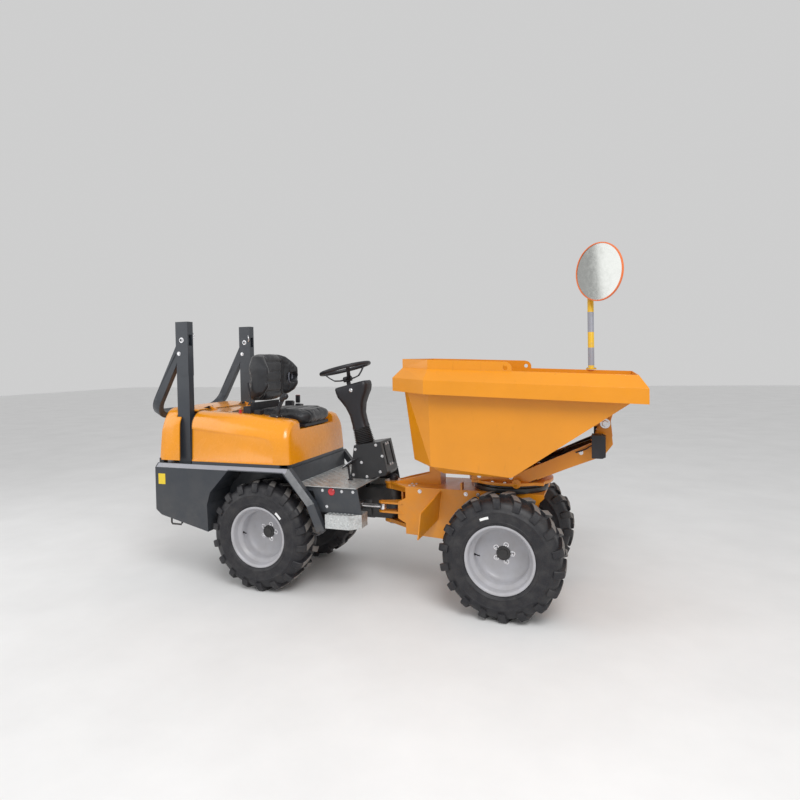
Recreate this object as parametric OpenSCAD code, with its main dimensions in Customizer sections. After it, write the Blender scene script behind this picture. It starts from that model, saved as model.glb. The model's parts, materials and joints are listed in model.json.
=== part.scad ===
// Articulated front tip dumper with a swivel skip.
// +X points forward, +Y to the left and +Z up. The origin is on the ground under the
// middle of the machine's length and width. All sizes are in millimetres.
// Places along X are measured from the articulation pin, at_pin() puts them in the frame.

/* [Wheels] */
// Distance between the front and rear axles
wheel_base = 1640; // [1560:10:1720]
// Distance between the middles of the left and right tyres
track = 764; // [740:2:800]
// Tyre diameter over the lug tips
tyre_d = 750; // [720:5:770]
// Tyre width across the sidewalls
tyre_w = 258; // [240:2:270]
// Rim diameter over the flange
rim_d = 418; // [400:2:430]
// Lugs on each side of a tyre
lug_count = 18; // [14:1:22]
// Height of a lug above the carcass
lug_h = 20; // [14:1:26]
// Width of a lug along the tread
lug_w = 40; // [34:1:44]
// Wheel bolts on each wheel
bolt_count = 5; // [4:1:6]

/* [Rear body] */
// Width across the side panels
body_w = 1010; // [980:5:1020]
// Length from the articulation pin to the rear panel
body_back = 1660; // [1620:10:1700]
// Height of the body's top edge
body_top = 850; // [830:5:870]
// Thickness of the body sheet
body_t = 6; // [4:1:8]
// The hood is narrower than the body by this much on each side
edge_in = 30; // [26:1:36]
// Height of the hood's top at the rear
hood_top = 1225; // [1200:5:1250]
// Distance from the pin to the hood's front face
hood_front = 578; // [570:2:600]
// Thickness of the hood shell
hood_t = 8; // [6:1:10]

/* [Roll hoop] */
// Distance from a side panel in to the middle of its post
post_in = 100; // [90:2:104]
// Post size along X
post_x = 105; // [90:1:110]
// Post size along Y
post_y = 54; // [46:2:60]
// Height of the hoop's hinge
hoop_pivot_z = 1737; // [1700:5:1770]
// Length of a hoop leg from its hinge to the cross bar
hoop_len = 620; // [560:5:640]
// Angle of the folded leg from straight down
hoop_lean = 28.5; // [26:0.5:31]

/* [Driver's place] */
// Width of the seat
seat_w = 480; // [440:10:500]
// Height of the seat cushion's top
seat_z = 1215; // [1200:5:1230]
// Height of the backrest's top
back_z = 1640; // [1600:10:1680]
// Steering wheel diameter
hand_wheel_d = 384; // [350:2:400]
// Height of the floor plate
floor_z = 735; // [720:5:750]
// Height of the lower step
step_z = 560; // [540:5:580]

/* [Front chassis] */
// Width across the side plates
chassis_w = 400; // [360:10:420]
// Height of the chassis' top plate
chassis_top = 715; // [700:5:725]
// Height of the chassis' lower edge
chassis_low = 400; // [380:5:430]
// Largest steering angle to each side
steer_max = 33; // [25:1:33]

/* [Skip] */
// Width over the skip's skirt
skip_w = 1120; // [1080:10:1140]
// Distance from the pin to the skip's rear edge
skip_back = 130; // [125:5:160]
// Distance from the pin to the pouring lip
skip_front = 1630; // [1600:10:1650]
// Height of the skip's floor
skip_low = 857; // [855:1:865]
// Height of the skirt's top edge at the rear
skirt_top = 1440; // [1420:5:1460]
// Thickness of the skip's plate
skip_t = 6; // [4:1:8]
// Diameter of the tipping pin
tip_pin_d = 30; // [26:1:34]

/* [Mirror] */
// Diameter of the mirror
mirror_d = 400; // [360:10:410]
// Height of the mirror's middle
mirror_z = 2140; // [2050:10:2200]
// Diameter of its pole
pole_d = 42; // [38:1:48]

/* [Hidden] */
$fn = 48;

// --- Paint
c_yellow = [0.90, 0.58, 0.07];
c_hood = [0.97, 0.62, 0.10];
c_dark = [0.24, 0.26, 0.29];
c_black = [0.09, 0.09, 0.10];
c_rubber = [0.12, 0.12, 0.13];
c_silver = [0.72, 0.73, 0.75];
c_steel = [0.60, 0.61, 0.63];
c_amber = [0.85, 0.42, 0.14];
c_floor = [0.62, 0.64, 0.64];

// --- Clearances
eps = 0.1;      // overshoot of a cut past a face
fit = 0.3;      // gap between pieces that seat on each other
run = 0.05;     // radial clearance of a pin in its bore

// --- Roll hoop
post_gap = body_w - 2 * post_in;  // between the middles of the two posts
leg_n = 66;                       // leg size square to the hoop's plane
leg_p = 46;                       // leg size in the hoop's plane
hoop_x = -1452;                   // hinge of the hoop
hoop_r = 150;                     // outer radius of the hoop's corners
hoop_w = post_gap + leg_p;        // width over the legs
bracket_t = 4;                    // side plates of the hinge brackets
bracket_top = hoop_pivot_z + 133;
bracket_low = hoop_pivot_z - 257;
post_top = hoop_pivot_z - 55;
hoop_pin_r = 9;

// --- Reach of the machine and the frame's origin
rear_reach = -hoop_x + (hoop_len + leg_p / 2) * sin(hoop_lean) + leg_n / 2 * cos(hoop_lean);
front_reach = skip_front;
pin_x = (rear_reach - front_reach) / 2;
axle_x = wheel_base / 2;
wheel_r = tyre_d / 2;

// --- Wheels, along the axle from the tyre's middle outwards
carcass_r = wheel_r - lug_h;
bead_r = rim_d / 2 - 14;          // tyre bore
rim_half = tyre_w / 2 - 11;       // half of the rim's width
rim_t = 6;
well_r = rim_d / 2 - 38;          // outer radius of the rim's well
well_in = 52;                     // the well's ends along the axle
well_out = 46;
well_slope = 14;
disc_in = 50;                     // the disc lies this far inboard of the tyre's middle
disc_t = 8;
hub_r = 48;
spindle_r = 28;
bolt_ring = 54;                   // radius of the bolt circle
bolt_r = 10;
motor_r = 105;                    // wheel motor housing

// --- Axle and frame
beam = 90;
rail_y = 150;
rail_w = 60;
rail_low = wheel_r + beam / 2;
rail_h = 110;
inner_y = track / 2 - tyre_w / 2 - 12;   // inner walls of the wheel arches

// --- Articulation
fork_top = chassis_top - 25;      // upper fork plate, upper face
fork_t = 25;
fork_low = chassis_low + 30;      // lower fork plate, lower face
boss_low = fork_low + fork_t + fit;
boss_high = fork_top - fork_t - fit;
boss_r = 55;
pivot_r = 22;
nose_half = 58;

// --- Body
hood_low = body_top + 21;
hood_w = body_w - 2 * edge_in;
bay_x = -1372;                    // seam between hood and rear cover
hinge_x = bay_x + 4;              // knuckles of the hood's hinges over the seam
hinge_z = hood_top + 15;
hinge_r = 8;
hinge_pin_r = 5;
hinge_y = 230;                    // middle of a hinge
hinge_w = 20;                     // length of the hood's knuckle
engine_back = -1330;
engine_front = -870;
hood_back = bay_x + 8;
roof_x = -916;                    // crease across the hood's top
roof_a = atan(26 / (roof_x - hood_back));
roof_b = atan(38 / (-hood_front - 36 - roof_x));
seat_x = -785;                    // middle of the cushion
seat_low = seat_z - 105;
back_low = seat_z + 55;           // lower edge of the backrest

// --- Steering column
wheel_tilt = 13.5;
hand_c = [-360, 0, 1509];
hub_drop = 78;
hand_shaft_r = 16;
lever_lean = 24;                  // of the control lever, forwards
column_tilt = 14;
column_foot = [-208, 0, 950];
tower_back = [-256, 968];         // upper edges of the tower
tower_front = [-56, 1000];
tower_nose = [-8, 790];

// --- Steering cylinder
steer_base = [-440, -150, 567];
steer_eye = [-20, -170, 567];
steer_r = 32;
steer_rod_r = 13;
steer_pin_r = 10;
steer_arm = 165.5;                // travel of the rod for one radian of steering
steer_half = steer_arm * steer_max * PI / 180;
steer_lug = 31;                   // lugs this far above and below the cylinder

// --- Slewing ring and swivel frame
slew_r = 238;
slew_low = chassis_top;
slew_h = 55;
deck_z = slew_low + slew_h + fit;
deck_t = 18;
deck_r = 270;
deck_back = axle_x - 220;          // the deck reaches from here
deck_front = axle_x + 230;         // to here
cheek_y = 205;                    // outer faces of the swivel frame's cheeks
cheek_t = 14;

// --- Tipping
tip_pin = [1408, 0, 1165];
tip_pin_r = tip_pin_d / 2;
tip_base = [1362, 0, 1022];
tip_eye = [975, 0, 868];
tip_r = 34;
tip_rod_r = 17;
ear_y = 168;                      // outer faces of the skip's ears
ear_t = 14;
rest_z = 845;                     // top of the skip's rest block

// --- Skip
skip_in = 77;                     // skirt stands out this far from the side plates
side_y = skip_w / 2 - skip_in;    // outer face of the plates at the rim
low_y = side_y - 38;              // and at the floor
rim_slope = 2.4;                  // the rim falls towards the lip

module at_pin() translate([pin_x, 0, 0]) children();
module mirror_y() { children(); mirror([0, 1, 0]) children(); }

// A plate standing across Y: an outline in X and Z from y0 to y0 + t
module upright(y0, t) translate([0, y0 + t, 0]) rotate([90, 0, 0]) linear_extrude(t) children();

// A round bar from a to b
module bar(a, b, r) {
  d = b - a;
  len = norm(d);
  translate(a) rotate([0, acos(d[2] / len), atan2(d[1], d[0])]) cylinder(h = len, r = r);
}

// A block from corner a to corner b
module block(a, b) translate(a) cube(b - a);

// ---------------------------------------------------------------- wheels
// The wheel's own frame: the axle along Z, +Z outboard, origin at the tyre's middle
module place_wheel(x, side)
  at_pin() translate([x, side * track / 2, wheel_r]) rotate([side > 0 ? -90 : 90, 0, 0]) children();

module carcass() {
  w = tyre_w / 2;
  seat = rim_half - 7 - fit;      // the beads lie between the rim's flanges
  rotate_extrude($fn = 18)
    polygon([[bead_r, -seat], [rim_d / 2 + fit, -seat], [rim_d / 2 + 8, -w + 3], [carcass_r - 60, -w], [carcass_r - 2, -w + 34],
      [carcass_r - 2, w - 34], [carcass_r - 60, w], [rim_d / 2 + 8, w - 3], [rim_d / 2 + fit, seat],
      [bead_r, seat]]);
}

// A lug from the shoulder to past the tread's middle, drawn flat: Y around the tread, X across it
module lug_outline() {
  w = tyre_w / 2;
  polygon([[-8, -lug_w * 0.3], [w, lug_w * 0.75], [w, lug_w * 2], [-8, lug_w * 0.65]]);
}

module lugs() {
  step = 360 / lug_count;
  w = tyre_w / 2;
  lug_sag = lug_w * lug_w * 1.35 / wheel_r / 2;    // a flat top's ends still lie on the tyre's circle
  // each lug is cut from a bar across the tread with a flat top and a sloping shoulder
  for (i = [0:lug_count - 1], s = [0, 1]) rotate([0, 0, (i + s / 2) * step]) mirror([0, 0, s]) intersection() {
    rotate([0, 0, -atan(lug_w * 0.85 / wheel_r)]) rotate([90, 0, 0]) linear_extrude(200, center = true)
      polygon([[carcass_r - 40, -20], [wheel_r - lug_sag, -20], [wheel_r - lug_sag, w - 26], [carcass_r - 12, w - 4], [carcass_r - 40, w - 1]]);
    translate([carcass_r - 80, 0, 0]) rotate([0, 90, 0]) rotate([0, 0, 180])
      linear_extrude(lug_h + 100) lug_outline();
  }
}

module tyre() color(c_rubber) {
  carcass();
  lugs();
}

module rim() color(c_silver) {
  r = bead_r - fit;
  face = -disc_in + disc_t;
  difference() {
    rotate_extrude($fn = 64)
      polygon([[rim_d / 2, -rim_half], [rim_d / 2, -rim_half + 6], [r, -rim_half + 7], [r, -well_in - well_slope],
        [well_r, -well_in], [well_r, well_out], [r, well_out + well_slope], [r, rim_half - 7],
        [rim_d / 2, rim_half - 6], [rim_d / 2, rim_half], [r - rim_t, rim_half],
        [r - rim_t, well_out + well_slope + 3], [well_r - rim_t, well_out + 3], [well_r - rim_t, face + 10],
        [well_r - 20, face], [0, face], [0, -disc_in - 20], [hub_r, -disc_in - 20], [hub_r, -disc_in],
        [well_r - 20, -disc_in], [well_r - rim_t, -disc_in + 4], [well_r - rim_t, -well_in - 3],
        [r - rim_t, -well_in - well_slope - 3], [r - rim_t, -rim_half]]);
    translate([0, 0, -disc_in - 20 - eps]) cylinder(h = 50, r = spindle_r + run);
  }
  // wheel bolts with their nuts
  for (i = [0:bolt_count - 1])
    rotate([0, 0, i * 360 / bolt_count]) translate([bolt_ring, 0, face - 1]) {
      cylinder(h = 11, r = bolt_r, $fn = 6);
      cylinder(h = 18, r = bolt_r * 0.55, $fn = 16);
    }
}

// ---------------------------------------------------------------- axles
module axle(x, dir) color(c_black) at_pin() translate([x, 0, wheel_r]) {
  hub_face = track / 2 - disc_in - 20;
  block([-beam / 2, -inner_y + 2, -beam / 2], [beam / 2, inner_y - 2, beam / 2]);
  mirror_y() translate([0, inner_y - 12, 0]) rotate([-90, 0, 0]) {
    cylinder(h = hub_face - fit - inner_y + 12, r = motor_r);
    cylinder(h = hub_face + 20 + disc_t + 3 - inner_y + 12, r = spindle_r);
  }
  translate([dir * 70, 0, 0]) rotate([0, 90, 0]) cylinder(h = 170, r = 72, center = true);
}
module rear_axle() axle(-axle_x, 1);
module front_axle() axle(axle_x, -1);

// ---------------------------------------------------------------- rear frame
module rear_frame() color(c_black) at_pin() {
  nose_x = -300;
  difference() {
    union() {
      mirror_y() block([-body_back + 30, rail_y - rail_w / 2, rail_low], [nose_x, rail_y + rail_w / 2, rail_low + rail_h]);
      for (x = [-body_back + 30, -1130, -560, nose_x - 60])
        block([x, -rail_y, rail_low + 10], [x + 60, rail_y, rail_low + rail_h - 10]);
      // outriggers to the body's inner walls and under the posts
      mirror_y() for (x = [-1195, -645])
        block([x, rail_y + rail_w / 2 - 1, rail_low + 30], [x + 50, inner_y - fit, rail_low + 80]);
      mirror_y() block([hoop_x - post_x / 2 + 10, rail_y + rail_w / 2 - 1, rail_low + 50],
        [hoop_x + post_x / 2 - 10, post_gap / 2 + post_y / 2, rail_low + rail_h - fit]);
      block([nose_x - 5, -nose_half, boss_low], [0, nose_half, boss_high]);
      translate([0, 0, boss_low]) cylinder(h = boss_high - boss_low, r = nose_half);
      translate([-190, 0, (boss_low + boss_high) / 2 - 40]) rotate([0, 90, 0]) cylinder(h = 90, r = 82, center = true);
    }
    translate([0, 0, boss_low - eps]) cylinder(h = boss_high - boss_low + 2 * eps, r = pivot_r + run);
  }
  // anchor of the steering cylinder: two lugs, a web and the pin
  lug_in = steer_base[1] + 55;
  for (z = [-1, 1]) translate([0, 0, steer_base[2] + z * steer_lug - 6])
    block([steer_base[0] - 26, -rail_y - rail_w / 2, 0], [steer_base[0] + 26, lug_in, 12]);
  block([steer_base[0] - 26, lug_in - 14, rail_low + rail_h - 1], [steer_base[0] + 26, lug_in, steer_base[2] + steer_lug]);
  translate([steer_base[0], steer_base[1], steer_base[2] - steer_lug])
    cylinder(h = 2 * steer_lug, r = steer_pin_r);
}

// Tow eye plates on the last cross beam
module tow_bracket() color(c_black) at_pin() mirror_y() upright(18, 14) difference() {
  union() {
    translate([-body_back - 40, rail_low + 35]) circle(r = 34);
    translate([-body_back - 40, rail_low + 1]) square([70, 68]);
  }
  translate([-body_back - 40, rail_low + 35]) circle(r = 13);
}

// ---------------------------------------------------------------- rear body
// The convex skin over a list of corner points
module skin(points) hull() polyhedron(points, [for (i = [2:len(points) - 1]) [i - 2, i - 1, i]]);

// Corner points mirrored to both sides
function both(points) = [for (p = points, s = [-1, 1]) [p[0], s * p[1], p[2]]];

arch = [[-1212, 300], [-1212, 383], [-1218, 572], [-1190, 662], [-1039, 822], [-612, 822],
        [-436, 618], [-366, 452], [-366, 300]];
tail = [[-body_back, body_top], [-body_back, 515], [-body_back + 46, 478], [-1176, 375],
        [-322, 452], [-396, 628], [-hood_front, body_top]];
// The same outline where the side panel starts, inside the folded edge
tail_side = [[-body_back, body_top - edge_in], [-body_back, 515], [-body_back + 46, 478], [-1176, 375],
             [-360, 452], [-432, 613], [-hood_front - 20, body_top - edge_in]];

module body_skin(inset) {
  y0 = hood_w / 2 - inset;
  y1 = body_w / 2 - inset;
  skin(concat(both([for (p = tail) [p[0] - sign(p[0] + 1000) * inset, y0, p[1]]]),
              both([for (p = tail_side) [p[0] - sign(p[0] + 1000) * inset, y1, p[1]]])));
}

module rear_body() color(c_dark) at_pin() {
  liner = 5;
  difference() {
    body_skin(0);
    // the bay inside, open at the top and the bottom
    intersection() {
      body_skin(body_t);
      block([-body_back, -body_w, 0], [-hood_front - body_t, body_w, body_top - 34]);
    }
    block([-body_back + 60, -hood_w / 2 + 60, 0], [-hood_front - 30, hood_w / 2 - 60, body_top + 10]);
    block([-body_back + 90, -body_w / 2 + 60, 0], [-hood_front - body_t, body_w / 2 - 60, 500]);
    // openings for the rails and the posts
    block([-hood_front - 20, -rail_y - rail_w / 2 - 6, 0], [-hood_front + 1, rail_y + rail_w / 2 + 6, rail_low + rail_h + 6]);
    mirror_y() block([hoop_x - post_x / 2 - fit, post_gap / 2 - post_y / 2 - fit, 600],
      [hoop_x + post_x / 2 + fit, post_gap / 2 + post_y / 2 + fit, body_top + 10]);
    // the space for the driver's feet
    block([-hood_front, -body_w / 2 + 75, 0], [0, body_w / 2 - 75, body_top + 10]);
    block([-body_back - 1, -rail_y - rail_w, 0], [-body_back + 110, rail_y + rail_w, rail_low + rail_h + 8]);
    mirror_y() upright(inner_y + liner, body_w) polygon(arch);
    mirror_y() upright(inner_y - 200, body_w) translate([0, -8]) polygon([[-366, 300], [-366, 452], [-436, 618], [-hood_front, 780], [-hood_front, 300]]);
  }
  // seal lip under the hood
  mirror_y() block([hood_back + 4, hood_w / 2 - 30, body_top - 1], [-hood_front - 70, hood_w / 2 - 2, hood_low - fit]);
  block([-hood_front - 34, -hood_w / 2 + 45, body_top - 1], [-hood_front - 3, hood_w / 2 - 45, hood_low - fit]);
  // inner walls and roofs of the wheel arches
  intersection() {
    mirror_y() {
      upright(inner_y, liner) difference() {
        polygon(arch);
        translate([-axle_x - 140, 0]) square([280, wheel_r + motor_r + 20]);
      }
      upright(inner_y, body_w / 2 - 3 - inner_y) difference() {
        offset(delta = liner) polygon(arch);
        polygon(arch);
        translate([-2000, 0]) square([2500, 384]);
      }
    }
    block([-2000, -body_w, 0], [-hood_front, body_w, 2000]);
  }
}

module cover_shell(t) {
  half = hood_w / 2 - t;
  skin(both([[-body_back + t, half, hood_low - t], [-body_back + 6 + t, half, hood_low + 210],
    [-body_back + 40 + t, half - 20, hood_low + 330], [-body_back + 62 + t, half - 80, hood_low + 379 - t],
    [bay_x, half, hood_low - t], [bay_x, half - 8, hood_low + 290], [bay_x, half - 88, hood_top + 6 - t]]));
}

module rear_cover() color(c_hood) at_pin() {
  half = hood_w / 2;
  difference() {
    cover_shell(0);
    intersection() {
      cover_shell(hood_t);
      block([-2000, -half, 0], [bay_x - 14, half, 2000]);
    }
    block([-2000, -half - 1, hood_low - 40], [0, half + 1, hood_low]);
    mirror_y() block([hoop_x - post_x / 2 - 6, post_gap / 2 - post_y / 2 - 6, 0],
      [0, post_gap / 2 + post_y / 2 + 6, 2000]);
    mirror_y() block([hoop_x - 16, post_gap / 2, 0], [0, half + 10, 2000]);
    block([bay_x - 15, -half + 150, 0], [bay_x + 1, half - 150, hood_top - 60]);
  }
  // feet on the body's edge
  mirror_y() block([-body_back + 12, half - 50, body_top + fit], [-body_back + 48, half - 4, hood_low + 12]);
  // two knuckles of each hinge with the pin between them
  mirror_y() for (y = [hinge_y - hinge_w / 2 - fit - 14, hinge_y + hinge_w / 2 + fit]) upright(y, 14) {
    translate([hinge_x, hinge_z]) circle(r = hinge_r);
    polygon([[hinge_x - 46, hood_top + 3], [hinge_x - 46, hood_top + 9], [hinge_x, hinge_z + hinge_r],
      [hinge_x, hinge_z - 6], [bay_x - 1, hood_top + 3]]);
  }
  mirror_y() upright(hinge_y - hinge_w / 2 - 10, hinge_w + 20) translate([hinge_x, hinge_z]) circle(r = hinge_pin_r);
}

module hood_shell(t) {
  half = hood_w / 2 - t;
  front = -hood_front - t;
  skin(both([[hood_back, half, hood_low - t], [front - 76, half, hood_low - t], [front, half - 25, hood_low - t],
    [hood_back, half - 12, 1160], [front - 70, half - 14, 1072], [front - 14, half - 45, 1100],
    [hood_back, half - 88, hood_top - t], [roof_x, half - 88, hood_top - 26 - t],
    [front - 36, half - 86, hood_top - 64 - t]]));
}

module hood() color(c_hood) at_pin() {
  half = hood_w / 2;
  seat_half = seat_w / 2 + 30;
  difference() {
    hood_shell(0);
    difference() {
      hood_shell(hood_t);
      block([seat_x - 350 - hood_t, -seat_half - hood_t, seat_low - 10 - hood_t], [0, seat_half + hood_t, 2000]);
    }
    block([-2000, -half - 1, hood_low - 40], [0, half + 1, hood_low]);
    block([seat_x - 350, -seat_half, seat_low - 10], [0, seat_half, 2000]);
  }
  mirror_y() upright(hinge_y - hinge_w / 2, hinge_w) difference() {
    union() {
      translate([hinge_x, hinge_z]) circle(r = hinge_r);
      polygon([[hinge_x + 56, hood_top - 8], [hinge_x + 56, hood_top], [hinge_x, hinge_z + hinge_r],
        [hinge_x, hinge_z - hinge_r], [hood_back + 8, hood_top - 5]]);
    }
    translate([hinge_x, hinge_z]) circle(r = hinge_pin_r + run);
  }
}

module engine() color(c_steel) at_pin()
  block([engine_back, -rail_y - 20, rail_low + rail_h], [engine_front, rail_y + 20, hood_low + 110]);

// ---------------------------------------------------------------- roll hoop
module roll_posts() color(c_dark) at_pin() mirror_y() {
  difference() {
    translate([hoop_x, post_gap / 2, 0])
      block([-post_x / 2, -post_y / 2, rail_low + rail_h], [post_x / 2, post_y / 2, post_top]);
    // the top is cut along the folded leg
    translate([hoop_x, post_gap / 2, hoop_pivot_z]) rotate([0, hoop_lean, 0])
      block([-400, -post_y, -400], [leg_n / 2 + 6, post_y, 60]);
  }
  // hinge bracket: two plates, a front web with a window and the pin
  for (s = [-1, 1])
    upright(post_gap / 2 + s * (post_y + bracket_t) / 2 - bracket_t / 2, bracket_t)
      polygon([[hoop_x - post_x / 2, bracket_top], [hoop_x - post_x / 2, hoop_pivot_z - 137],
        [hoop_x - 20, bracket_low], [hoop_x + post_x / 2, bracket_low], [hoop_x + post_x / 2, bracket_top]]);
  translate([hoop_x, post_gap / 2, hoop_pivot_z]) {
    difference() {
      block([post_x / 2 - 8, -post_y / 2, -57], [post_x / 2, post_y / 2, bracket_top - hoop_pivot_z]);
      block([0, -post_y / 2 + 8, -40], [post_x, post_y / 2 - 8, 40]);
    }
    rotate([90, 0, 0]) cylinder(h = post_y + 2 * bracket_t + 20, r = hoop_pin_r, center = true);
  }
}

// A U lying in X and Y: legs up to the hinge line, rounded corners at the cross bar
module hoop_u(half, r, len) {
  translate([-half, -len + r]) square([2 * half, len - r]);
  translate([-half + r, -len]) square([2 * half - 2 * r, r + 1]);
  for (s = [-1, 1]) translate([s * (half - r), -len + r]) circle(r = r);
}

module roll_hoop() color(c_dark) at_pin() {
  outer = hoop_w / 2;
  len = hoop_len + leg_p / 2;
  difference() {
    translate([hoop_x, 0, hoop_pivot_z]) rotate([0, hoop_lean, 0]) rotate([0, 0, 90]) rotate([90, 0, 0]) {
      translate([0, 0, -leg_n / 2]) linear_extrude(leg_n) difference() {
        hoop_u(outer, hoop_r, len);
        translate([0, eps]) hoop_u(outer - leg_p, hoop_r - leg_p, len - leg_p + eps);
      }
      for (s = [-1, 1]) translate([s * (outer - leg_p / 2), 0, 0]) rotate([0, 90, 0])
        cylinder(h = leg_p, r = leg_n / 2, center = true);
    }
    translate([hoop_x, 0, hoop_pivot_z]) rotate([90, 0, 0])
      cylinder(h = 2 * outer + 10, r = hoop_pin_r + run, center = true);
  }
}

// ---------------------------------------------------------------- seat and controls
module seat_cushion() color(c_black) at_pin() {
  w = seat_w / 2;
  skin(both([[seat_x - 235, w - 30, seat_low + 12 + fit], [seat_x + 190, w - 60, seat_low + 12 + fit],
    [seat_x + 235, w - 120, seat_low + 45], [seat_x - 235, w, seat_low + 50], [seat_x + 150, w, seat_low + 50],
    [seat_x + 205, w - 45, seat_low + 50], [seat_x + 228, w - 110, seat_z - 12], [seat_x - 225, w - 30, seat_z + 8],
    [seat_x + 145, w - 30, seat_z], [seat_x + 195, w - 65, seat_z - 4]]));
}

module seat_back() color(c_black) at_pin() {
  w = seat_w / 2 + 8;
  x = seat_x - 250;
  difference() {
    skin(both([[x - 8, w - 50, back_low], [x + 60, w - 50, back_low], [x - 22, w - 6, back_low + 95],
      [x + 120, w - 8, back_low + 75], [x + 154, w, back_low + 140], [x + 154, w, back_low + 170],
      [x - 25, w - 24, back_z - 130], [x + 112, w - 16, back_z - 130], [x - 22, w - 70, back_z - 30],
      [x + 70, w - 60, back_z - 40], [x - 20, w - 120, back_z], [x + 40, w - 120, back_z]]));
    skin(both([[x + 64, w - 105, back_low - 20], [x + 62, w - 105, back_z - 150], [x + 48, w - 135, back_z - 40],
      [x + 200, w - 60, back_low - 20], [x + 200, w - 60, back_z + 20]]));
    mirror_y() translate([x - 140, w - 50, back_low + 176]) rotate([0, 90, 0]) scale([1.5, 1, 1])
      cylinder(h = 340, r = 27);
  }
}

module seat_pan() color(c_black) at_pin() {
  w = seat_w / 2 - 50;
  back = seat_x - 262;
  block([back, -w, seat_low - 10 + fit], [seat_x + 190, w, seat_low + 12]);
  block([back, -w, seat_low], [seat_x - 237, w, back_low - fit]);
}

// Stands its children on the hood's top, at x and y, square to its slope
module on_hood(x, y) {
  rear = x < roof_x;
  slope = rear ? roof_a : roof_b;
  translate([x, y, hood_top - (rear ? (x - hood_back) * tan(roof_a) : 26 + (x - roof_x) * tan(roof_b)) + fit])
    rotate([0, slope, 0]) children();
}

module control_lever() color(c_black) at_pin() on_hood(seat_x + 15, -seat_w / 2 - 60) {
  rotate_extrude() polygon([[0, 0], [40, 0], [38, 12], [29, 14], [25, 22], [0, 22]]);
  translate([0, 0, 11]) rotate([0, lever_lean, 0]) rotate_extrude()
    polygon([[0, 0], [26, 0], [24, 16], [11, 56], [7, 58], [7, 132], [16, 137], [21, 152], [20, 164], [12, 174], [0, 177]]);
}

// Boxes of the belt's reel and anchor beside the seat
module belt_reels() color(c_black) at_pin() mirror_y() {
  on_hood(seat_x - 205, seat_w / 2 + 60) block([-30, -26, 0], [30, 26, 44]);
  on_hood(seat_x - 120, seat_w / 2 + 60) block([-24, -26, 0], [24, 26, 30]);
}

foot_w = body_w / 2 - 78;         // half of the footwell's width
foot_back = -hood_front + 2;
foot_front = -110;

module footwell() color(c_dark) at_pin() {
  low = step_z + fit;
  under = floor_z - 6 - fit;
  block([foot_back, -foot_w, floor_z - 36], [foot_back + 5, foot_w, body_top - 4]);
  for (x = [-570, -280]) block([x, -foot_w + 16, under - 20], [x + 30, foot_w - 16, under]);
  mirror_y() {
    upright(foot_w - 20, 6) polygon([[foot_back, under], [foot_back, floor_z - 36], [-430, floor_z - 36], [-390, low],
      [foot_front + 30, low], [foot_front, under]]);
    block([-300, nose_half - 18, boss_high + fit], [-200, nose_half - 4, under]);
    block([-570, rail_y - 20, rail_low + rail_h + fit], [-500, rail_y + 20, under]);
  }
}

module floor_plate() color(c_floor) at_pin()
  block([foot_back + 5 + fit, -foot_w, floor_z - 6], [foot_front, foot_w, floor_z]);

module step_box(inset) translate([0, 0, step_z - 92]) linear_extrude(92) {
  y0 = body_w / 2 - 200 + inset;
  y1 = body_w / 2 - 40 - inset;
  polygon([[-322 + inset, y0], [-322 + inset, y1], [-150, y1], [-84 - inset, y1 - 60], [-84 - inset, y0]]);
}

module side_steps() color(c_floor) at_pin() mirror_y() {
  difference() {
    step_box(0);
    translate([0, 0, -6]) step_box(5);
  }
  block([-340, body_w / 2 - 110, step_z - 2], [-170, body_w / 2 - 98 - fit, step_z + 80]);
}

module pedals() color(c_black) at_pin()
  for (y = [-172, 172]) {
    bar([-262, y, floor_z + 4], [-276, y, floor_z + 100], 8);
    block([-274, y - 14, floor_z + fit], [-246, y + 14, floor_z + 8]);
    translate([-300, y - 40, floor_z + 84]) rotate([0, -35, 0]) cube([90, 80, 8]);
  }

// ---------------------------------------------------------------- steering
module tower_side(up)
  polygon([tower_back + [0, up], tower_front + [0, up], tower_nose, [-20, 765], [-150, floor_z + fit], [-288, floor_z + fit]]);

module steering_tower() color(c_black) at_pin() {
  w = 112;
  d = tower_front - tower_nose;
  difference() {
    upright(-w, 2 * w) tower_side(0);
    // two slots in the front plate
    for (s = [-1, 1]) translate([tower_nose[0] + d[0] * 0.56, s * 62, tower_nose[1] + d[1] * 0.56])
      rotate([0, atan2(d[0], d[1]), 0]) block([-14, -11, -76], [30, 11, 76]);
  }
}

module on_column(up) translate(column_foot) rotate([0, -column_tilt, 0]) translate([0, 0, up]) children();

bellows_h = 112;
module column_bellows() color(c_rubber) at_pin() {
  rings = 7;
  pitch = bellows_h / rings;
  difference() {
    union() {
      on_column(-30) cylinder(h = 60, r = 56);
      on_column(24) {
        cylinder(h = bellows_h, r = 60);
        for (i = [0:rings - 1]) translate([0, 0, i * pitch]) cylinder(h = pitch * 0.6, r1 = 72 - i * 0.6, r2 = 66 - i * 0.6);
      }
    }
    upright(-100, 200) tower_side(fit);
  }
}

// A slice of the cowl: its height, its shift forwards, its two widths and its tilt
module cowl_slice(s) translate([s[1], 0, s[0]]) rotate([0, s[4], 0]) linear_extrude(1)
  offset(r = 22, $fn = 16) square([s[2] - 44, s[3] - 44], center = true);

module column_cowl() color(c_black) at_pin() difference() {
  on_column(24 + fit) {
    slices = [[bellows_h, 0, 112, 112, 0], [216, 0, 108, 112, 0], [286, 4, 146, 126, 0],
      [346, 10, 208, 142, 0], [396, 16, 256, 150, 0], [432, 16, 252, 146, -4]];
    for (k = [[0, 1], [1, 2], [2, 3]]) hull() { cowl_slice(slices[k[0]]); cowl_slice(slices[k[1]]); }
    hull() for (k = [3, 4, 5]) cowl_slice(slices[k]);
  }
  on_wheel(-hub_drop - 112) cylinder(h = 200, r = hand_shaft_r + run);
}

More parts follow.
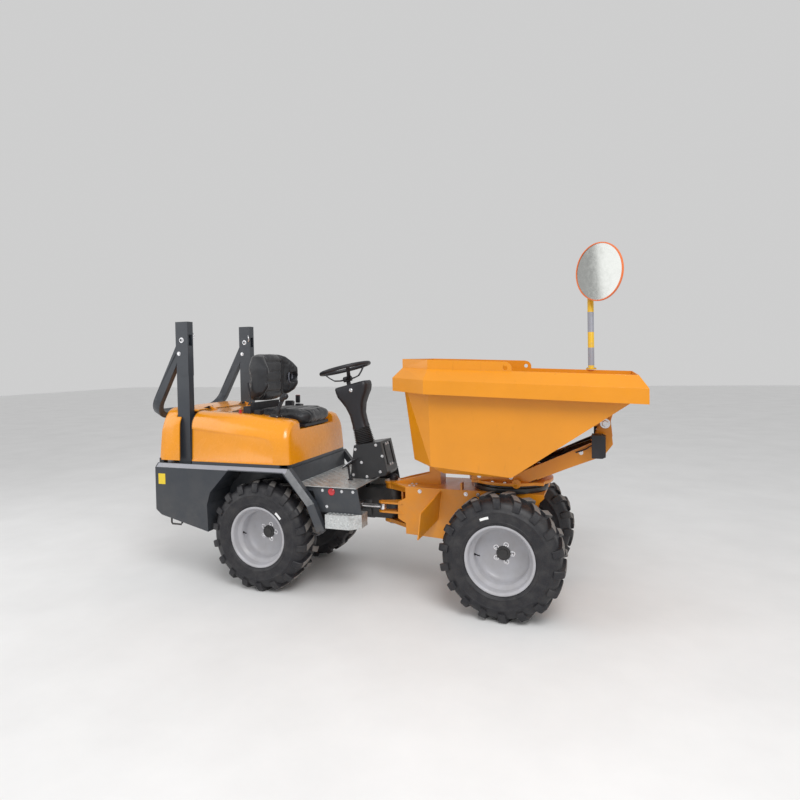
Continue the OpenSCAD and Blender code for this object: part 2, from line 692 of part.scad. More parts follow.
module on_wheel(up) translate(hand_c) rotate([0, -wheel_tilt, 0]) translate([0, 0, up]) children();

module steering_wheel() color(c_black) at_pin() {
  on_wheel(0) rotate_extrude() translate([hand_wheel_d / 2 - 14, 0]) circle(r = 14, $fn = 24);
  on_wheel(-hub_drop - 18) cylinder(h = 36, r = 34);
  for (a = [60, 180, 300]) on_wheel(0) rotate([0, 0, a]) {
    bar([24, 0, -hub_drop], [110, 0, -hub_drop + 8], 10);
    bar([110, 0, -hub_drop + 8], [hand_wheel_d / 2 - 16, 0, 0], 10);
  }
  on_wheel(-hub_drop - 110) cylinder(h = 96, r = hand_shaft_r);
}

// ---------------------------------------------------------------- front chassis
module front_chassis() color(c_yellow) at_pin() {
  half = chassis_w / 2;
  t = 12;
  front = deck_front;
  over_beam = wheel_r + beam / 2 + fit;
  difference() {
    union() {
      // top plate and the two fork plates
      for (p = [[chassis_top - t, t, 66, half], [fork_top - fork_t, fork_t + 14, 58, half - 40], [fork_low, fork_t, 66, half - 20]])
        translate([0, 0, p[0]]) linear_extrude(p[1]) {
          circle(r = p[2]);
          polygon([[0, -p[2]], [160, -p[3]], [220, -p[3]], [220, p[3]], [160, p[3]], [0, p[2]]]);
        }
      block([200, -half, chassis_top - t], [front, half, chassis_top]);
      // web behind the forks
      block([92, -110, fork_low], [92 + t, 110, chassis_top - 1]);
      // side plates
      mirror_y() upright(half - t, t)
        polygon([[150, chassis_top - 1], [150, 640], [96, 610], [96, 500], [150, 470], [150, chassis_low], [axle_x - 130, chassis_low - 30],
          [axle_x - beam / 2 - 12, chassis_low - 30], [axle_x - beam / 2 - 12, over_beam],
          [axle_x + beam / 2 + 12, over_beam], [axle_x + beam / 2 + 12, chassis_low - 10],
          [axle_x + 120, chassis_low], [front - 50, chassis_top - 75], [front, chassis_top - 25], [front, chassis_top - 1]]);
      block([front - 50 - t, -half, chassis_top - 75], [front - 50, half, chassis_top - 1]);
      block([210, -half, chassis_low], [210 + t, half, chassis_top - 1]);
      // cross member on the axle beam
      block([axle_x - 100, -half, over_beam + 30], [axle_x + 100, half, over_beam + 42]);
      mirror_y() block([axle_x - 40, 120, over_beam], [axle_x + 40, half, over_beam + 42]);
      // rest block with its two gussets
      block([283, -70, chassis_top - 1], [360, 70, rest_z]);
      mirror_y() upright(56, 14) polygon([[20, chassis_top - 1], [100, chassis_top + 24], [300, rest_z - 55], [300, chassis_top - 1]]);
      // stop posts behind the ring
      mirror_y() block([525, 150, chassis_top - 1], [537, half, chassis_top + 45]);
    }
    translate([0, 0, fork_low - eps]) cylinder(h = chassis_top, r = pivot_r + run);
  }
  // guards in front of the step, swept back and leaning forwards
  reach = body_w / 2 - half - 3;
  mirror_y() translate([376, half - 2, 580]) rotate([0, 0, 8]) rotate([0, 7, 0]) rotate([90, 0, 90]) linear_extrude(8)
    polygon([[-4, 126], [reach, 41], [reach, -126], [-4, -67]]);
  // ears of the steering cylinder
  for (z = [-1, 1]) translate([0, 0, steer_eye[2] + z * steer_lug - 6]) linear_extrude(12) difference() {
    union() {
      translate([steer_eye[0], steer_eye[1]]) circle(r = 30);
      polygon([[steer_eye[0] - 8, steer_eye[1] - 29], [120, -half - 4], [152, -half + 4], [152, -half + 60],
        [96, -100], [steer_eye[0] + 6, steer_eye[1] + 30]]);
    }
    translate([steer_eye[0], steer_eye[1]]) circle(r = steer_pin_r + 1);
  }
}

module pivot_pin() color(c_steel) at_pin() {
  translate([0, 0, fork_low - 8]) cylinder(h = chassis_top - fork_low + 14, r = pivot_r);
  translate([0, 0, fork_low - 16]) cylinder(h = 16 - fit, r = pivot_r + 14);
  // cap over its grease point
  translate([0, 0, chassis_top + 5]) rotate_extrude() polygon([[0, 0], [30, 1], [30, 25], [22, 34], [0, 37]]);
}

module slew_ring() color(c_black) at_pin() translate([axle_x, 0, slew_low + fit]) difference() {
  union() {
    cylinder(h = slew_h - fit - 24, r = slew_r);
    cylinder(h = slew_h - fit, r = slew_r - 22);
  }
  translate([0, 0, -eps]) cylinder(h = slew_h + 1, r = slew_r - 70);
}

// ---------------------------------------------------------------- swivel frame
module swivel_frame() color(c_yellow) at_pin() {
  nose = tip_pin[0] - 10;
  difference() {
    union() {
      translate([axle_x, 0, deck_z]) cylinder(h = deck_t, r = deck_r);
      block([deck_back, -cheek_y, deck_z], [deck_front, cheek_y, deck_z + deck_t]);
      // half-round lugs under the deck's edge
      mirror_y() upright(deck_r - 24, 12) translate([axle_x + 70, deck_z + 14]) circle(r = 28);
      mirror_y() upright(cheek_y - cheek_t, cheek_t) {
        polygon([[deck_back, deck_z + deck_t - 1], [deck_back, 845], [900, 845], [1340, 1050], [tip_pin[0] - 30, tip_pin[2]], [tip_pin[0] + 30, tip_pin[2]],
          [1450, 1040], [1395, 965], [1350, 950], [950, deck_z + deck_t - 1]]);
        translate([tip_pin[0], tip_pin[2]]) circle(r = 30);
      }
      // floor between the cheeks and the nose plate
      upright(-cheek_y + 2, 2 * cheek_y - 4) polygon([[1010, 806], [1345, 952], [1345, 962], [1010, 816]]);
      block([nose, -cheek_y + 2, 972], [nose + 12, cheek_y - 2, 1105]);
      block([deck_back + 20, -cheek_y + 2, deck_z + deck_t - 1], [deck_back + 32, cheek_y - 2, 838]);
      // lugs of the tipping cylinder
      mirror_y() upright(24, 14) {
        translate([tip_base[0], tip_base[2]]) circle(r = 26);
        polygon([[tip_base[0], tip_base[2] - 26], [nose + 2, tip_base[2] - 40], [nose + 2, tip_base[2] + 40], [tip_base[0], tip_base[2] + 26]]);
      }
      translate(tip_base) rotate([90, 0, 0]) cylinder(h = 92, r = 12, center = true);
    }
    translate(tip_pin) rotate([90, 0, 0]) cylinder(h = 2 * cheek_y + 2, r = tip_pin_r + run, center = true);
    translate([axle_x, 0, deck_z - 1]) cylinder(h = deck_t + 2, r = 90);
    // windows of the nose plate
    mirror_y() block([nose - 1, 62, 1000], [nose + 13, 150, 1070]);
  }
}

module tip_pin() color(c_steel) at_pin() translate(tip_pin) rotate([90, 0, 0]) {
  cylinder(h = 2 * cheek_y + 24, r = tip_pin_r, center = true);
  for (s = [-1, 1]) translate([0, 0, s * (cheek_y + 6 + fit)]) cylinder(h = 12, r = tip_pin_r + 8, center = true);
}

module work_lamps() color(c_black) at_pin() mirror_y() {
  difference() {
    hull() {
      block([1334, 240, 972], [1392, 336, 1108]);
      block([1392, 246, 980], [1410, 330, 1100]);
    }
    block([1402, 254, 990], [1411, 322, 1090]);
  }
  block([1350, cheek_y + fit, 1010], [1366, 241, 1046]);
}

// ---------------------------------------------------------------- skip
function skirt_z(x) = skirt_top - (x - 390) * tan(rim_slope);
wall_a = atan2(433, 630);         // slope of the front wall
wall_x0 = 890;                    // foot of the front wall

// Corner points of the tub, t inside its outer faces, up to top(x) = skirt_z(x) + up
function tub_low(t) = [[wall_x0 - 0.31 * t, low_y - t, skip_low + t], [470 + 0.2 * t, low_y - 45 - t, skip_low + t],
  [250 + t, 300 - t, 920 + t], [400 + t, low_y + 3 - t, 905 + t]];
rim_x = skip_front - 46;
function wall_top(t) = [rim_x - t, side_y - t, skip_low + (rim_x - t - wall_x0) * tan(wall_a) + t * 1.21];
function tub_rim(t, up) = [[200 + t, 360 - t, skirt_z(200) + up], [400 + t, side_y - t, skirt_z(400) + up]];

module tub(t, up) skin(both(concat(tub_low(t), tub_rim(t, 0), tub_rim(t, up), [wall_top(t),
  [rim_x - t, side_y - t, skirt_z(rim_x)], [rim_x - t, side_y - t, skirt_z(rim_x) + up]])));

module flange(t, down) {
  half = skip_w / 2 - t;
  skin(both([
    for (z = [-84 - down, -down], p = [[skip_back + t, 362 - t], [392 + 0.6 * t, half], [skip_front - t, half]])
      [p[0], p[1], skirt_z(p[0]) + z],
    [200 + 1.5 * t, 360 - t, skirt_z(200) + rim_up - 2 - down], [400 + t, side_y, skirt_z(400) + rim_up - 2 - down],
    [rim_x, side_y, skirt_z(rim_x) + rim_up - 2 - down]]));
}

// Plates standing on the skirt's edge along the rear and the sides, from x0 to x1 and from low upwards
module spill_band(x0, x1, low) difference() {
  intersection() {
    skin(both([for (z = [low, spill_h], p = [[200, 360], [400, side_y], [spill_x, side_y]]) [p[0], p[1], skirt_z(p[0]) + z]]));
    block([x0, -skip_w / 2, skip_low], [x1, skip_w / 2, 2 * skirt_top]);
  }
  tub(skip_t, 400);
}

module skip() color(c_yellow) at_pin() {
  difference() {
    tub(0, rim_up);
    tub(skip_t, 400);
  }
  difference() {
    flange(0, 0);
    flange(5, 6);
    tub(skip_t, 400);
  }
  spill_band(0, spill_seam, -20);
  // hinge ears and the ears of the tipping cylinder
  translate([wall_x0, 0, skip_low]) rotate([0, -wall_a, 0]) mirror_y() {
    u = norm([tip_pin[0] - wall_x0, tip_pin[2] - skip_low]);
    a = atan2(tip_pin[2] - skip_low, tip_pin[0] - wall_x0) - wall_a;
    ear(u * cos(a), u * sin(a), ear_y - ear_t, 30, tip_pin_r + run, 95);
    v = norm([tip_eye[0] - wall_x0, tip_eye[2] - skip_low]);
    b = atan2(tip_eye[2] - skip_low, tip_eye[0] - wall_x0) - wall_a;
    ear(v * cos(b), v * sin(b), 25, 25, 10, 40);
  }
}

// Side plates on the tub's rim, with a lifting hole and a rounded end each
module spill_plates() color(c_yellow) at_pin() difference() {
  spill_band(spill_seam, spill_x, rim_up);
  translate([spill_x - 37, 0, skirt_z(spill_x) + 86]) rotate([90, 0, 0]) cylinder(h = skip_w, r = lift_r, center = true);
  translate([spill_x - end_r, 0, skirt_z(spill_x) + spill_h - end_r]) difference() {
    block([0, -skip_w / 2, 0], [end_r + 1, skip_w / 2, end_r + 9]);
    rotate([90, 0, 0]) cylinder(h = skip_w + 2, r = end_r, center = true);
  }
}

// One ear under the front wall: its eye at u along the wall and v below it
module ear(u, v, y, r, bore, foot) upright(y, ear_t) difference() {
  union() {
    translate([u, v]) circle(r = r);
    polygon([[u - foot, 3], [u + foot, 3], [u + r * 0.9, v - r * 0.43], [u - r * 0.9, v - r * 0.43]]);
  }
  translate([u, v]) circle(r = bore);
}

// ---------------------------------------------------------------- cylinders
// Drawn along +X from the barrel's hinge; across is the eyes' height or width
module barrel(len, r, bore_r, pin_bore, rod_bore, eye) {
  difference() {
    union() {
      rotate([90, 0, 0]) cylinder(h = eye, r = pin_bore + 12, center = true);
      block([4, -eye / 2, -18], [38, eye / 2, 18]);
      translate([34, 0, 0]) rotate([0, 90, 0]) cylinder(h = len - 34, r = r);
    }
    rotate([90, 0, 0]) cylinder(h = eye + 2, r = pin_bore, center = true);
    translate([42, 0, 0]) rotate([0, 90, 0]) cylinder(h = len - 54, r = bore_r);
    translate([42, 0, 0]) rotate([0, 90, 0]) cylinder(h = len, r = rod_bore);
  }
}

// From the piston's back at x0 to the eye at x1
module piston_rod(x0, x1, r, piston_r, piston, eye_r, eye) {
  translate([x0, 0, 0]) rotate([0, 90, 0]) cylinder(h = piston, r = piston_r);
  translate([x0, 0, 0]) rotate([0, 90, 0]) cylinder(h = x1 - x0 - eye_r + 4, r = r);
  translate([x1, 0, 0]) rotate([90, 0, 0]) {
    cylinder(h = eye, r = eye_r, center = true);
  }
}

module tip_line() translate(tip_base)
  rotate([0, -atan2(tip_eye[2] - tip_base[2], tip_eye[0] - tip_base[0]), 0]) children();
module steer_line() translate(steer_base)
  rotate([0, 0, atan2(steer_eye[1] - steer_base[1], steer_eye[0] - steer_base[0])]) rotate([90, 0, 0]) children();
tip_len = norm(tip_eye - tip_base);
steer_len = norm(steer_eye - steer_base);

module tip_barrel() color(c_black) at_pin() tip_line() barrel(tip_len - 42, tip_r, tip_r - 6, 12 + run, tip_rod_r + run, 36);
module tip_rod() color(c_steel) at_pin() tip_line() piston_rod(44, tip_len, tip_rod_r, tip_r - 6 - run, 18, 22, 38);
module steer_barrel() color(c_black) at_pin() steer_line() barrel(steer_half * 2 + 71, steer_r, steer_r - 6, steer_pin_r + run, steer_rod_r + run, 38);
module steer_rod() color(c_steel) at_pin() steer_line() piston_rod(steer_half + 43.5, steer_len, steer_rod_r, steer_r - 6 - run, 14, 22, 38);

// ---------------------------------------------------------------- mirror
mirror_foot = [1316, side_y + 12, 0];
mirror_turn = 50;                 // the mirror faces back to the driver
mirror_side = 118;                // its middle lies beside the pole
mirror_gap = 32;                  // and in front of it
rim_up = 68;                      // the rim lies this far above the skirt's top edge
spill_seam = 400;                 // the side spill plates reach from here
spill_x = 905;                    // to here
spill_h = 122;                    // and this far above the skirt's top edge
end_r = 40;                       // rounded ends of the spill plates
lift_r = 13;                      // lifting holes

module mirror_pole() color(c_silver) at_pin() {
  z0 = skirt_z(mirror_foot[0]) + rim_up + 2;
  translate(mirror_foot + [0, 0, z0 + 10]) cylinder(h = mirror_z + 60 - z0 - 10, r = pole_d / 2);
  translate(mirror_foot + [0, 0, z0]) cylinder(h = 11, r = pole_d / 2 + 14);
}

// The mirror's own frame: Z points from its glass to its back
module mirror_head() color(c_amber) at_pin()
  translate(mirror_foot + [0, 0, mirror_z]) rotate([0, 0, mirror_turn])
    translate([-mirror_gap, -mirror_side, 0]) rotate([0, 90, 0]) {
      translate([0, 0, -24]) cylinder(h = 10, r = mirror_d / 2);
      translate([0, 0, -15]) cylinder(h = 22, r1 = mirror_d / 2 - 4, r2 = mirror_d / 2 - 60);
      block([-40, mirror_side - 34, -12], [40, mirror_side + 20, mirror_gap - pole_d / 2 - fit]);
    }

// ---------------------------------------------------------------- wheels in place
module tyre_fr() place_wheel(axle_x, -1) tyre();
module tyre_fl() place_wheel(axle_x, 1) tyre();
module tyre_rr() place_wheel(-axle_x, -1) tyre();
module tyre_rl() place_wheel(-axle_x, 1) tyre();
module rim_fr() place_wheel(axle_x, -1) rim();
module rim_fl() place_wheel(axle_x, 1) rim();
module rim_rr() place_wheel(-axle_x, -1) rim();
module rim_rl() place_wheel(-axle_x, 1) rim();

rear_frame();
tow_bracket();
rear_body();
rear_cover();
hood();
engine();
roll_posts();
roll_hoop();
seat_cushion();
seat_back();
seat_pan();
control_lever();
belt_reels();
footwell();
floor_plate();
side_steps();
pedals();
steering_tower();
column_bellows();
column_cowl();
steering_wheel();
rear_axle();
front_axle();
front_chassis();
pivot_pin();
slew_ring();
swivel_frame();
tip_pin();
work_lamps();
skip();
spill_plates();
tip_barrel();
tip_rod();
steer_barrel();
steer_rod();
mirror_pole();
mirror_head();
tyre_fr();
tyre_fl();
tyre_rr();
tyre_rl();
rim_fr();
rim_fl();
rim_rr();
rim_rl();
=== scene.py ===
"""Looks of an articulated front tip dumper with a swivel skip.

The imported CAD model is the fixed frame: X points forward, Y to the driver's left and Z up, in
metres. The sizes of the sub-assemblies are in millimetres, and lengths along X are measured from
the articulation pin, as the CAD's own are. Every sub-assembly is a class that holds its sizes,
models its pieces and dresses them.
"""
import json
import logging
import math
from dataclasses import dataclass, field
from enum import Enum
from typing import Callable, Iterable, Sequence

import bpy
from mathutils import Matrix, Vector


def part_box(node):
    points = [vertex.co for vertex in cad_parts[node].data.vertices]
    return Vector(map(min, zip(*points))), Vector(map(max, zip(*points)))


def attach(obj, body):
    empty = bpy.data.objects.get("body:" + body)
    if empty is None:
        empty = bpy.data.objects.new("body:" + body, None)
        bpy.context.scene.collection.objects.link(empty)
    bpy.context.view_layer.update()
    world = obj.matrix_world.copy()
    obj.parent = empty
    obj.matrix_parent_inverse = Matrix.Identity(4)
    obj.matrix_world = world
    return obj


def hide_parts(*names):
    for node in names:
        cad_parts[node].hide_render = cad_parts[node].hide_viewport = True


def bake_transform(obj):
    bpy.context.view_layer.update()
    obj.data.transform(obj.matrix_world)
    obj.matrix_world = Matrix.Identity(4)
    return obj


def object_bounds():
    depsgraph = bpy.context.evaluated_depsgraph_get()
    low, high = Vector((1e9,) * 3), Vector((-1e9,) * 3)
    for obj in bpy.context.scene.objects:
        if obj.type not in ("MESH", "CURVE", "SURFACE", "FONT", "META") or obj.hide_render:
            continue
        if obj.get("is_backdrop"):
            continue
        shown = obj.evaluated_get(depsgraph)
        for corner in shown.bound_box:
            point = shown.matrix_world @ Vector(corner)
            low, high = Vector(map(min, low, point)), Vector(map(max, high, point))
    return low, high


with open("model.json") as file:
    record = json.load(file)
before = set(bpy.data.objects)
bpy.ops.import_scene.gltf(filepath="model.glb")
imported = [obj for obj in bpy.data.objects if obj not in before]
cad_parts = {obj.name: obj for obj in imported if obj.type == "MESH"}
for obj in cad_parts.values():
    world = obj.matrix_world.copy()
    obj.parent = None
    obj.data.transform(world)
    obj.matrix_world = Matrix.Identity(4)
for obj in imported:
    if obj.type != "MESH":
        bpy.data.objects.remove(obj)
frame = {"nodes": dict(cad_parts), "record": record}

log = logging.getLogger("dumper")
Point = tuple[float, float, float]
Colour = tuple[float, float, float]
TAU = 2 * math.pi
MM = 0.001


def joint_place(name: str) -> Vector:
    """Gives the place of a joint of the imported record."""
    joints = frame["record"]["behaviour"]["joints"]
    return Vector(next(j["pos_m"] for j in joints if j["name"] == name))


PIN_X = joint_place("steer").x


def spot(x: float, y: float, z: float) -> Vector:
    """Gives a point in metres from millimetres, its x measured from the articulation pin."""
    return Vector((PIN_X + x * MM, y * MM, z * MM))


def mm(*values: float) -> tuple[float, ...]:
    """Gives millimetres in metres."""
    return tuple(v * MM for v in values)


def corners(node: str) -> tuple[Vector, Vector]:
    """Gives the lowest and the highest corner of a CAD node."""
    low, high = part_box(node)
    return Vector(low), Vector(high)


class Body(Enum):
    """The rigid bodies that pieces ride on."""

    REAR = "rear_machine"
    HOOD = "tilting_hood"
    HOOP = "folding_hoop"
    HAND_WHEEL = "hand_wheel"
    FRONT = "front_machine"
    TURNTABLE = "turntable"
    SKIP = "tipping_skip"
    TIP_BARREL = "tip_cylinder"
    TIP_ROD = "tip_piston"
    STEER_BARREL = "steer_cylinder"
    STEER_ROD = "steer_piston"


class Pick(Enum):
    """What an edit-mode selection takes."""

    VERTS = "VERT"
    EDGES = "EDGE"
    FACES = "FACE"


# ------------------------------------------------------------------ materials
class NodeGraph:
    """The node tree of one procedural material on Object coordinates."""

    def __init__(self, name: str) -> None:
        """Makes an empty material with its shader.

        Args:
            name: The material's name.
        """
        self.material = bpy.data.materials.new(name)
        self.material.use_nodes = True
        self.tree = self.material.node_tree
        self.shader = self.tree.nodes["Principled BSDF"]
        self.coords = self.add("ShaderNodeTexCoord").outputs["Object"]

    def add(self, kind: str, **settings: object) -> bpy.types.Node:
        """Adds a node and sets its properties.

        Args:
            kind: The kind's name.
            settings: What is set on it.

        Returns:
            The node.
        """
        node = self.tree.nodes.new(kind)
        for key, value in settings.items():
            setattr(node, key, value)
        return node

    def join(self, source: bpy.types.NodeSocket, target: bpy.types.NodeSocket) -> None:
        """Links two sockets."""
        self.tree.links.new(source, target)

    def stretched(self, scale: Point) -> bpy.types.NodeSocket:
        """Gives the coordinates scaled along each axis.

        Args:
            scale: The scale along each axis.

        Returns:
            The socket.
        """
        node = self.add("ShaderNodeMapping")
        node.inputs["Scale"].default_value = scale
        self.join(self.coords, node.inputs["Vector"])
        return node.outputs["Vector"]

    def noise(self, scale: float, detail: float = 4, stretch: Point = (1, 1, 1)) -> bpy.types.NodeSocket:
        """Gives a cloudy pattern from 0 to 1.

        Args:
            scale: Clouds per metre.
            detail: Levels of finer clouds.
            stretch: Scale along each axis.

        Returns:
            The pattern's value.
        """
        node = self.add("ShaderNodeTexNoise")
        node.inputs["Scale"].default_value = scale
        node.inputs["Detail"].default_value = detail
        node.inputs["Roughness"].default_value = 0.6
        self.join(self.stretched(stretch), node.inputs["Vector"])
        return node.outputs["Fac"]

    def cells(self, scale: float, edges: bool = False) -> bpy.types.NodeSocket:
        """Gives the distance in a pattern of cells.

        Args:
            scale: Cells per metre.
            edges: Whether the distance is to the cells' borders.

        Returns:
            The pattern's value.
        """
        node = self.add("ShaderNodeTexVoronoi", feature="DISTANCE_TO_EDGE" if edges else "F1")
        node.inputs["Scale"].default_value = scale
        self.join(self.coords, node.inputs["Vector"])
        return node.outputs["Distance"]

    def height(self) -> bpy.types.NodeSocket:
        """Gives the height above the ground.

        Returns:
            The socket.
        """
        node = self.add("ShaderNodeSeparateXYZ")
        self.join(self.coords, node.inputs[0])
        return node.outputs["Z"]

    def spread(self, source: bpy.types.NodeSocket, low: float, high: float,
               to_low: float = 0, to_high: float = 1) -> bpy.types.NodeSocket:
        """Maps a range of values to another one, held at its ends.

        Args:
            source: Where the value comes from.
            low: The lower end.
            high: The upper end.
            to_low: What the lower end becomes.
            to_high: What the upper end becomes.

        Returns:
            The socket.
        """
        node = self.add("ShaderNodeMapRange")
        for socket, value in zip(("From Min", "From Max", "To Min", "To Max"), (low, high, to_low, to_high)):
            node.inputs[socket].default_value = value
        self.join(source, node.inputs["Value"])
        return node.outputs["Result"]

    def product(self, one: bpy.types.NodeSocket, two: bpy.types.NodeSocket) -> bpy.types.NodeSocket:
        """Multiplies two values.

        Args:
            one: A value.
            two: The other value.

        Returns:
            The socket.
        """
        node = self.add("ShaderNodeMath", operation="MULTIPLY")
        self.join(one, node.inputs[0])
        self.join(two, node.inputs[1])
        return node.outputs[0]

    def blend(self, factor: bpy.types.NodeSocket, one: object, two: object) -> bpy.types.NodeSocket:
        """Blends two colours, each a colour or a socket.

        Args:
            factor: 0 for the first colour and 1 for the second.
            one: The first colour.
            two: The second colour.

        Returns:
            The blended colour.
        """
        node = self.add("ShaderNodeMix", data_type="RGBA")
        self.join(factor, node.inputs["Factor"])
        for socket, value in ((node.inputs[6], one), (node.inputs[7], two)):
            if isinstance(value, bpy.types.NodeSocket):
                self.join(value, socket)
            else:
                socket.default_value = (*value, 1)
        return node.outputs[2]

    def relief(self, height: bpy.types.NodeSocket, depth: float, strength: float = 1.0) -> None:
        """Gives the surface a relief of a depth in metres on top of what it has.

        Args:
            height: The height.
            depth: How deep it goes.
            strength: How strong it is.
        """
        node = self.add("ShaderNodeBump")
        node.inputs["Strength"].default_value = strength
        node.inputs["Distance"].default_value = depth
        self.join(height, node.inputs["Height"])
        before = self.shader.inputs["Normal"]
        if before.is_linked:
            self.join(before.links[0].from_socket, node.inputs["Normal"])
        self.join(node.outputs["Normal"], before)

    def set(self, **values: float) -> None:
        """Sets the shader's own sockets, spaces written as underscores."""
        for key, value in values.items():
            self.shader.inputs[key.replace("_", " ")].default_value = value


def shade(colour: Colour, factor: float) -> Colour:
    """Gives a colour made lighter or darker."""
    return tuple(min(1.0, c * factor) for c in colour)


DUST = (0.24, 0.21, 0.17)


@dataclass(frozen=True)
class Finish:
    """A finish: its name, colour and gloss."""

    name: str
    colour: Colour
    rough: float = 0.4

    def material(self) -> bpy.types.Material:
        """Gives the finish's material, made once.

        Returns:
            The material.
        """
        found = bpy.data.materials.get(self.name)
        if found:
            return found
        graph = NodeGraph(self.name)
        self.draw(graph)
        return graph.material

    def draw(self, graph: NodeGraph) -> None:
        """Draws the finish into a material."""
        raise NotImplementedError


@dataclass(frozen=True)
class PaintFinish(Finish):
    """Sprayed paint with slight clouds, scuffs and dust towards the ground."""

    dust: float = 0.35
    coat: float = 0.25
    scuffs: float = 0.35

    def draw(self, graph: NodeGraph) -> None:
        """Draws the paint into a material.

        Args:
            graph: The material's node graph.
        """
        clouds = graph.spread(graph.noise(2.3, 5), 0.3, 0.7)
        base = graph.blend(clouds, shade(self.colour, 0.93), shade(self.colour, 1.05))
        streaks = graph.spread(graph.noise(34, 8, (1, 1, 0.25)), 0.62, 0.74, 0, self.scuffs)
        base = graph.blend(streaks, base, shade(self.colour, 0.72))
        low = graph.spread(graph.height(), 0.95, 0.25, 0, self.dust)
        base = graph.blend(graph.product(low, graph.spread(graph.noise(9, 6), 0.35, 0.7)), base, DUST)
        graph.join(base, graph.shader.inputs["Base Color"])
        gloss = graph.spread(graph.noise(17, 6), 0.3, 0.75, self.rough - 0.06, self.rough + 0.12)
        graph.join(gloss, graph.shader.inputs["Roughness"])
        graph.relief(graph.noise(420, 2), 0.0004, 0.35)
        graph.set(Coat_Weight=self.coat, Coat_Roughness=0.12)


@dataclass(frozen=True)
class PlasticFinish(Finish):
    """Moulded plastic with a fine grain and paler rubbed patches."""

    grain: float = 0.0005

    def draw(self, graph: NodeGraph) -> None:
        """Draws the plastic into a material.

        Args:
            graph: The material's node graph.
        """
        rubbed = graph.spread(graph.noise(11, 7), 0.5, 0.78, 0, 0.6)
        base = graph.blend(rubbed, self.colour, shade(self.colour, 1.9))
        graph.join(base, graph.shader.inputs["Base Color"])
        graph.join(graph.spread(graph.noise(29, 5), 0.3, 0.7, self.rough - 0.08, self.rough + 0.1),
                   graph.shader.inputs["Roughness"])
        graph.relief(graph.noise(1100, 3), self.grain, 0.5)
        graph.set(Specular_IOR_Level=0.45)


@dataclass(frozen=True)
class VinylFinish(Finish):
    """Grained seat vinyl with soft folds and paler worn patches."""

    def draw(self, graph: NodeGraph) -> None:
        """Draws the vinyl into a material.

        Args:
            graph: The material's node graph.
        """
        worn = graph.spread(graph.noise(7, 6), 0.42, 0.72, 0, 0.7)
        base = graph.blend(worn, self.colour, shade(self.colour, 1.8))
        graph.join(base, graph.shader.inputs["Base Color"])
        graph.join(graph.spread(graph.noise(13, 5), 0.3, 0.7, self.rough - 0.07, self.rough + 0.1),
                   graph.shader.inputs["Roughness"])
        graph.relief(graph.cells(850, True), 0.0006, 0.5)
        graph.relief(graph.noise(26, 5), 0.004, 0.25)
        graph.set(Sheen_Weight=0.25, Sheen_Roughness=0.4)


@dataclass(frozen=True)
class RubberFinish(Finish):
    """Matt rubber with grey dust in patches.

    Attributes:
        dust: How much of the dust shows.
    """

    dust: float = 0.45

    def draw(self, graph: NodeGraph) -> None:
        """Draws the rubber into a material.

        Args:
            graph: The material's node graph.
        """
        dusty = graph.spread(graph.noise(14, 8), 0.42, 0.76, 0, self.dust)
        base = graph.blend(dusty, self.colour, (0.11, 0.105, 0.10))
        fine = graph.spread(graph.noise(240, 4), 0.45, 0.8, 0, self.dust * 0.5)
        base = graph.blend(fine, base, (0.17, 0.16, 0.15))
        graph.join(base, graph.shader.inputs["Base Color"])
        graph.join(graph.spread(graph.noise(19, 5), 0.3, 0.7, self.rough - 0.1, self.rough + 0.08),
                   graph.shader.inputs["Roughness"])
        graph.relief(graph.noise(520, 4), 0.0008, 0.5)
        graph.set(Specular_IOR_Level=0.4)


@dataclass(frozen=True)
class MetalFinish(Finish):
    """Bare or plated metal with fine scratches.

    Attributes:
        brushed: Scale of the scratches along each axis.
        stain: How much dull bloom lies on it.
    """

    brushed: Point = (1, 1, 1)
    stain: float = 0.3

    def draw(self, graph: NodeGraph) -> None:
        """Draws the metal into a material.

        Args:
            graph: The material's node graph.
        """
        bloom = graph.spread(graph.noise(8, 7), 0.4, 0.75, 0, self.stain)
        base = graph.blend(bloom, self.colour, shade(self.colour, 0.62))
        graph.join(base, graph.shader.inputs["Base Color"])
        scratch = graph.noise(180, 5, self.brushed)
        graph.join(graph.spread(scratch, 0.3, 0.7, max(0.04, self.rough - 0.1), self.rough + 0.12),
                   graph.shader.inputs["Roughness"])
        graph.relief(scratch, 0.0003, 0.3)
        graph.set(Metallic=0.9)


@dataclass(frozen=True)
class PlateFinish(Finish):
    """Galvanised tread plate with its spangle, scuffs and trodden-in dirt."""

    def draw(self, graph: NodeGraph) -> None:
        """Draws the plate into a material.

        Args:
            graph: The material's node graph.
        """
        spangle = graph.spread(graph.cells(95), 0.1, 0.9)
        base = graph.blend(spangle, shade(self.colour, 0.85), shade(self.colour, 1.12))
        dirt = graph.spread(graph.noise(10, 8), 0.5, 0.78, 0, 0.55)
        base = graph.blend(dirt, base, (0.16, 0.15, 0.14))
        graph.join(base, graph.shader.inputs["Base Color"])
        graph.join(graph.spread(graph.noise(40, 6), 0.3, 0.7, self.rough - 0.1, self.rough + 0.2),
                   graph.shader.inputs["Roughness"])
        graph.relief(graph.noise(330, 4), 0.0004, 0.4)
        graph.set(Metallic=0.75)


@dataclass(frozen=True)
class LensFinish(Finish):
    """Moulded lens plastic with fine flutes, with painted highlight and shade along the flutes."""

    def draw(self, graph: NodeGraph) -> None:
        """Draws the lens into a material.

        Args:
            graph: The material's node graph.
        """
        flutes = graph.noise(70, 1, (0.2, 6, 0.2))
        # The colour goes lighter and darker with the flutes: painted highlight and shade on them.
        base = graph.blend(graph.spread(flutes, 0.35, 0.65), shade(self.colour, 0.7), shade(self.colour, 1.2))
        graph.join(base, graph.shader.inputs["Base Color"])
        graph.relief(flutes, 0.002, 0.6)
        graph.join(graph.spread(graph.noise(60, 4), 0.3, 0.8, self.rough, self.rough + 0.12),
                   graph.shader.inputs["Roughness"])
        graph.set(Coat_Weight=0.8, Coat_Roughness=0.04)


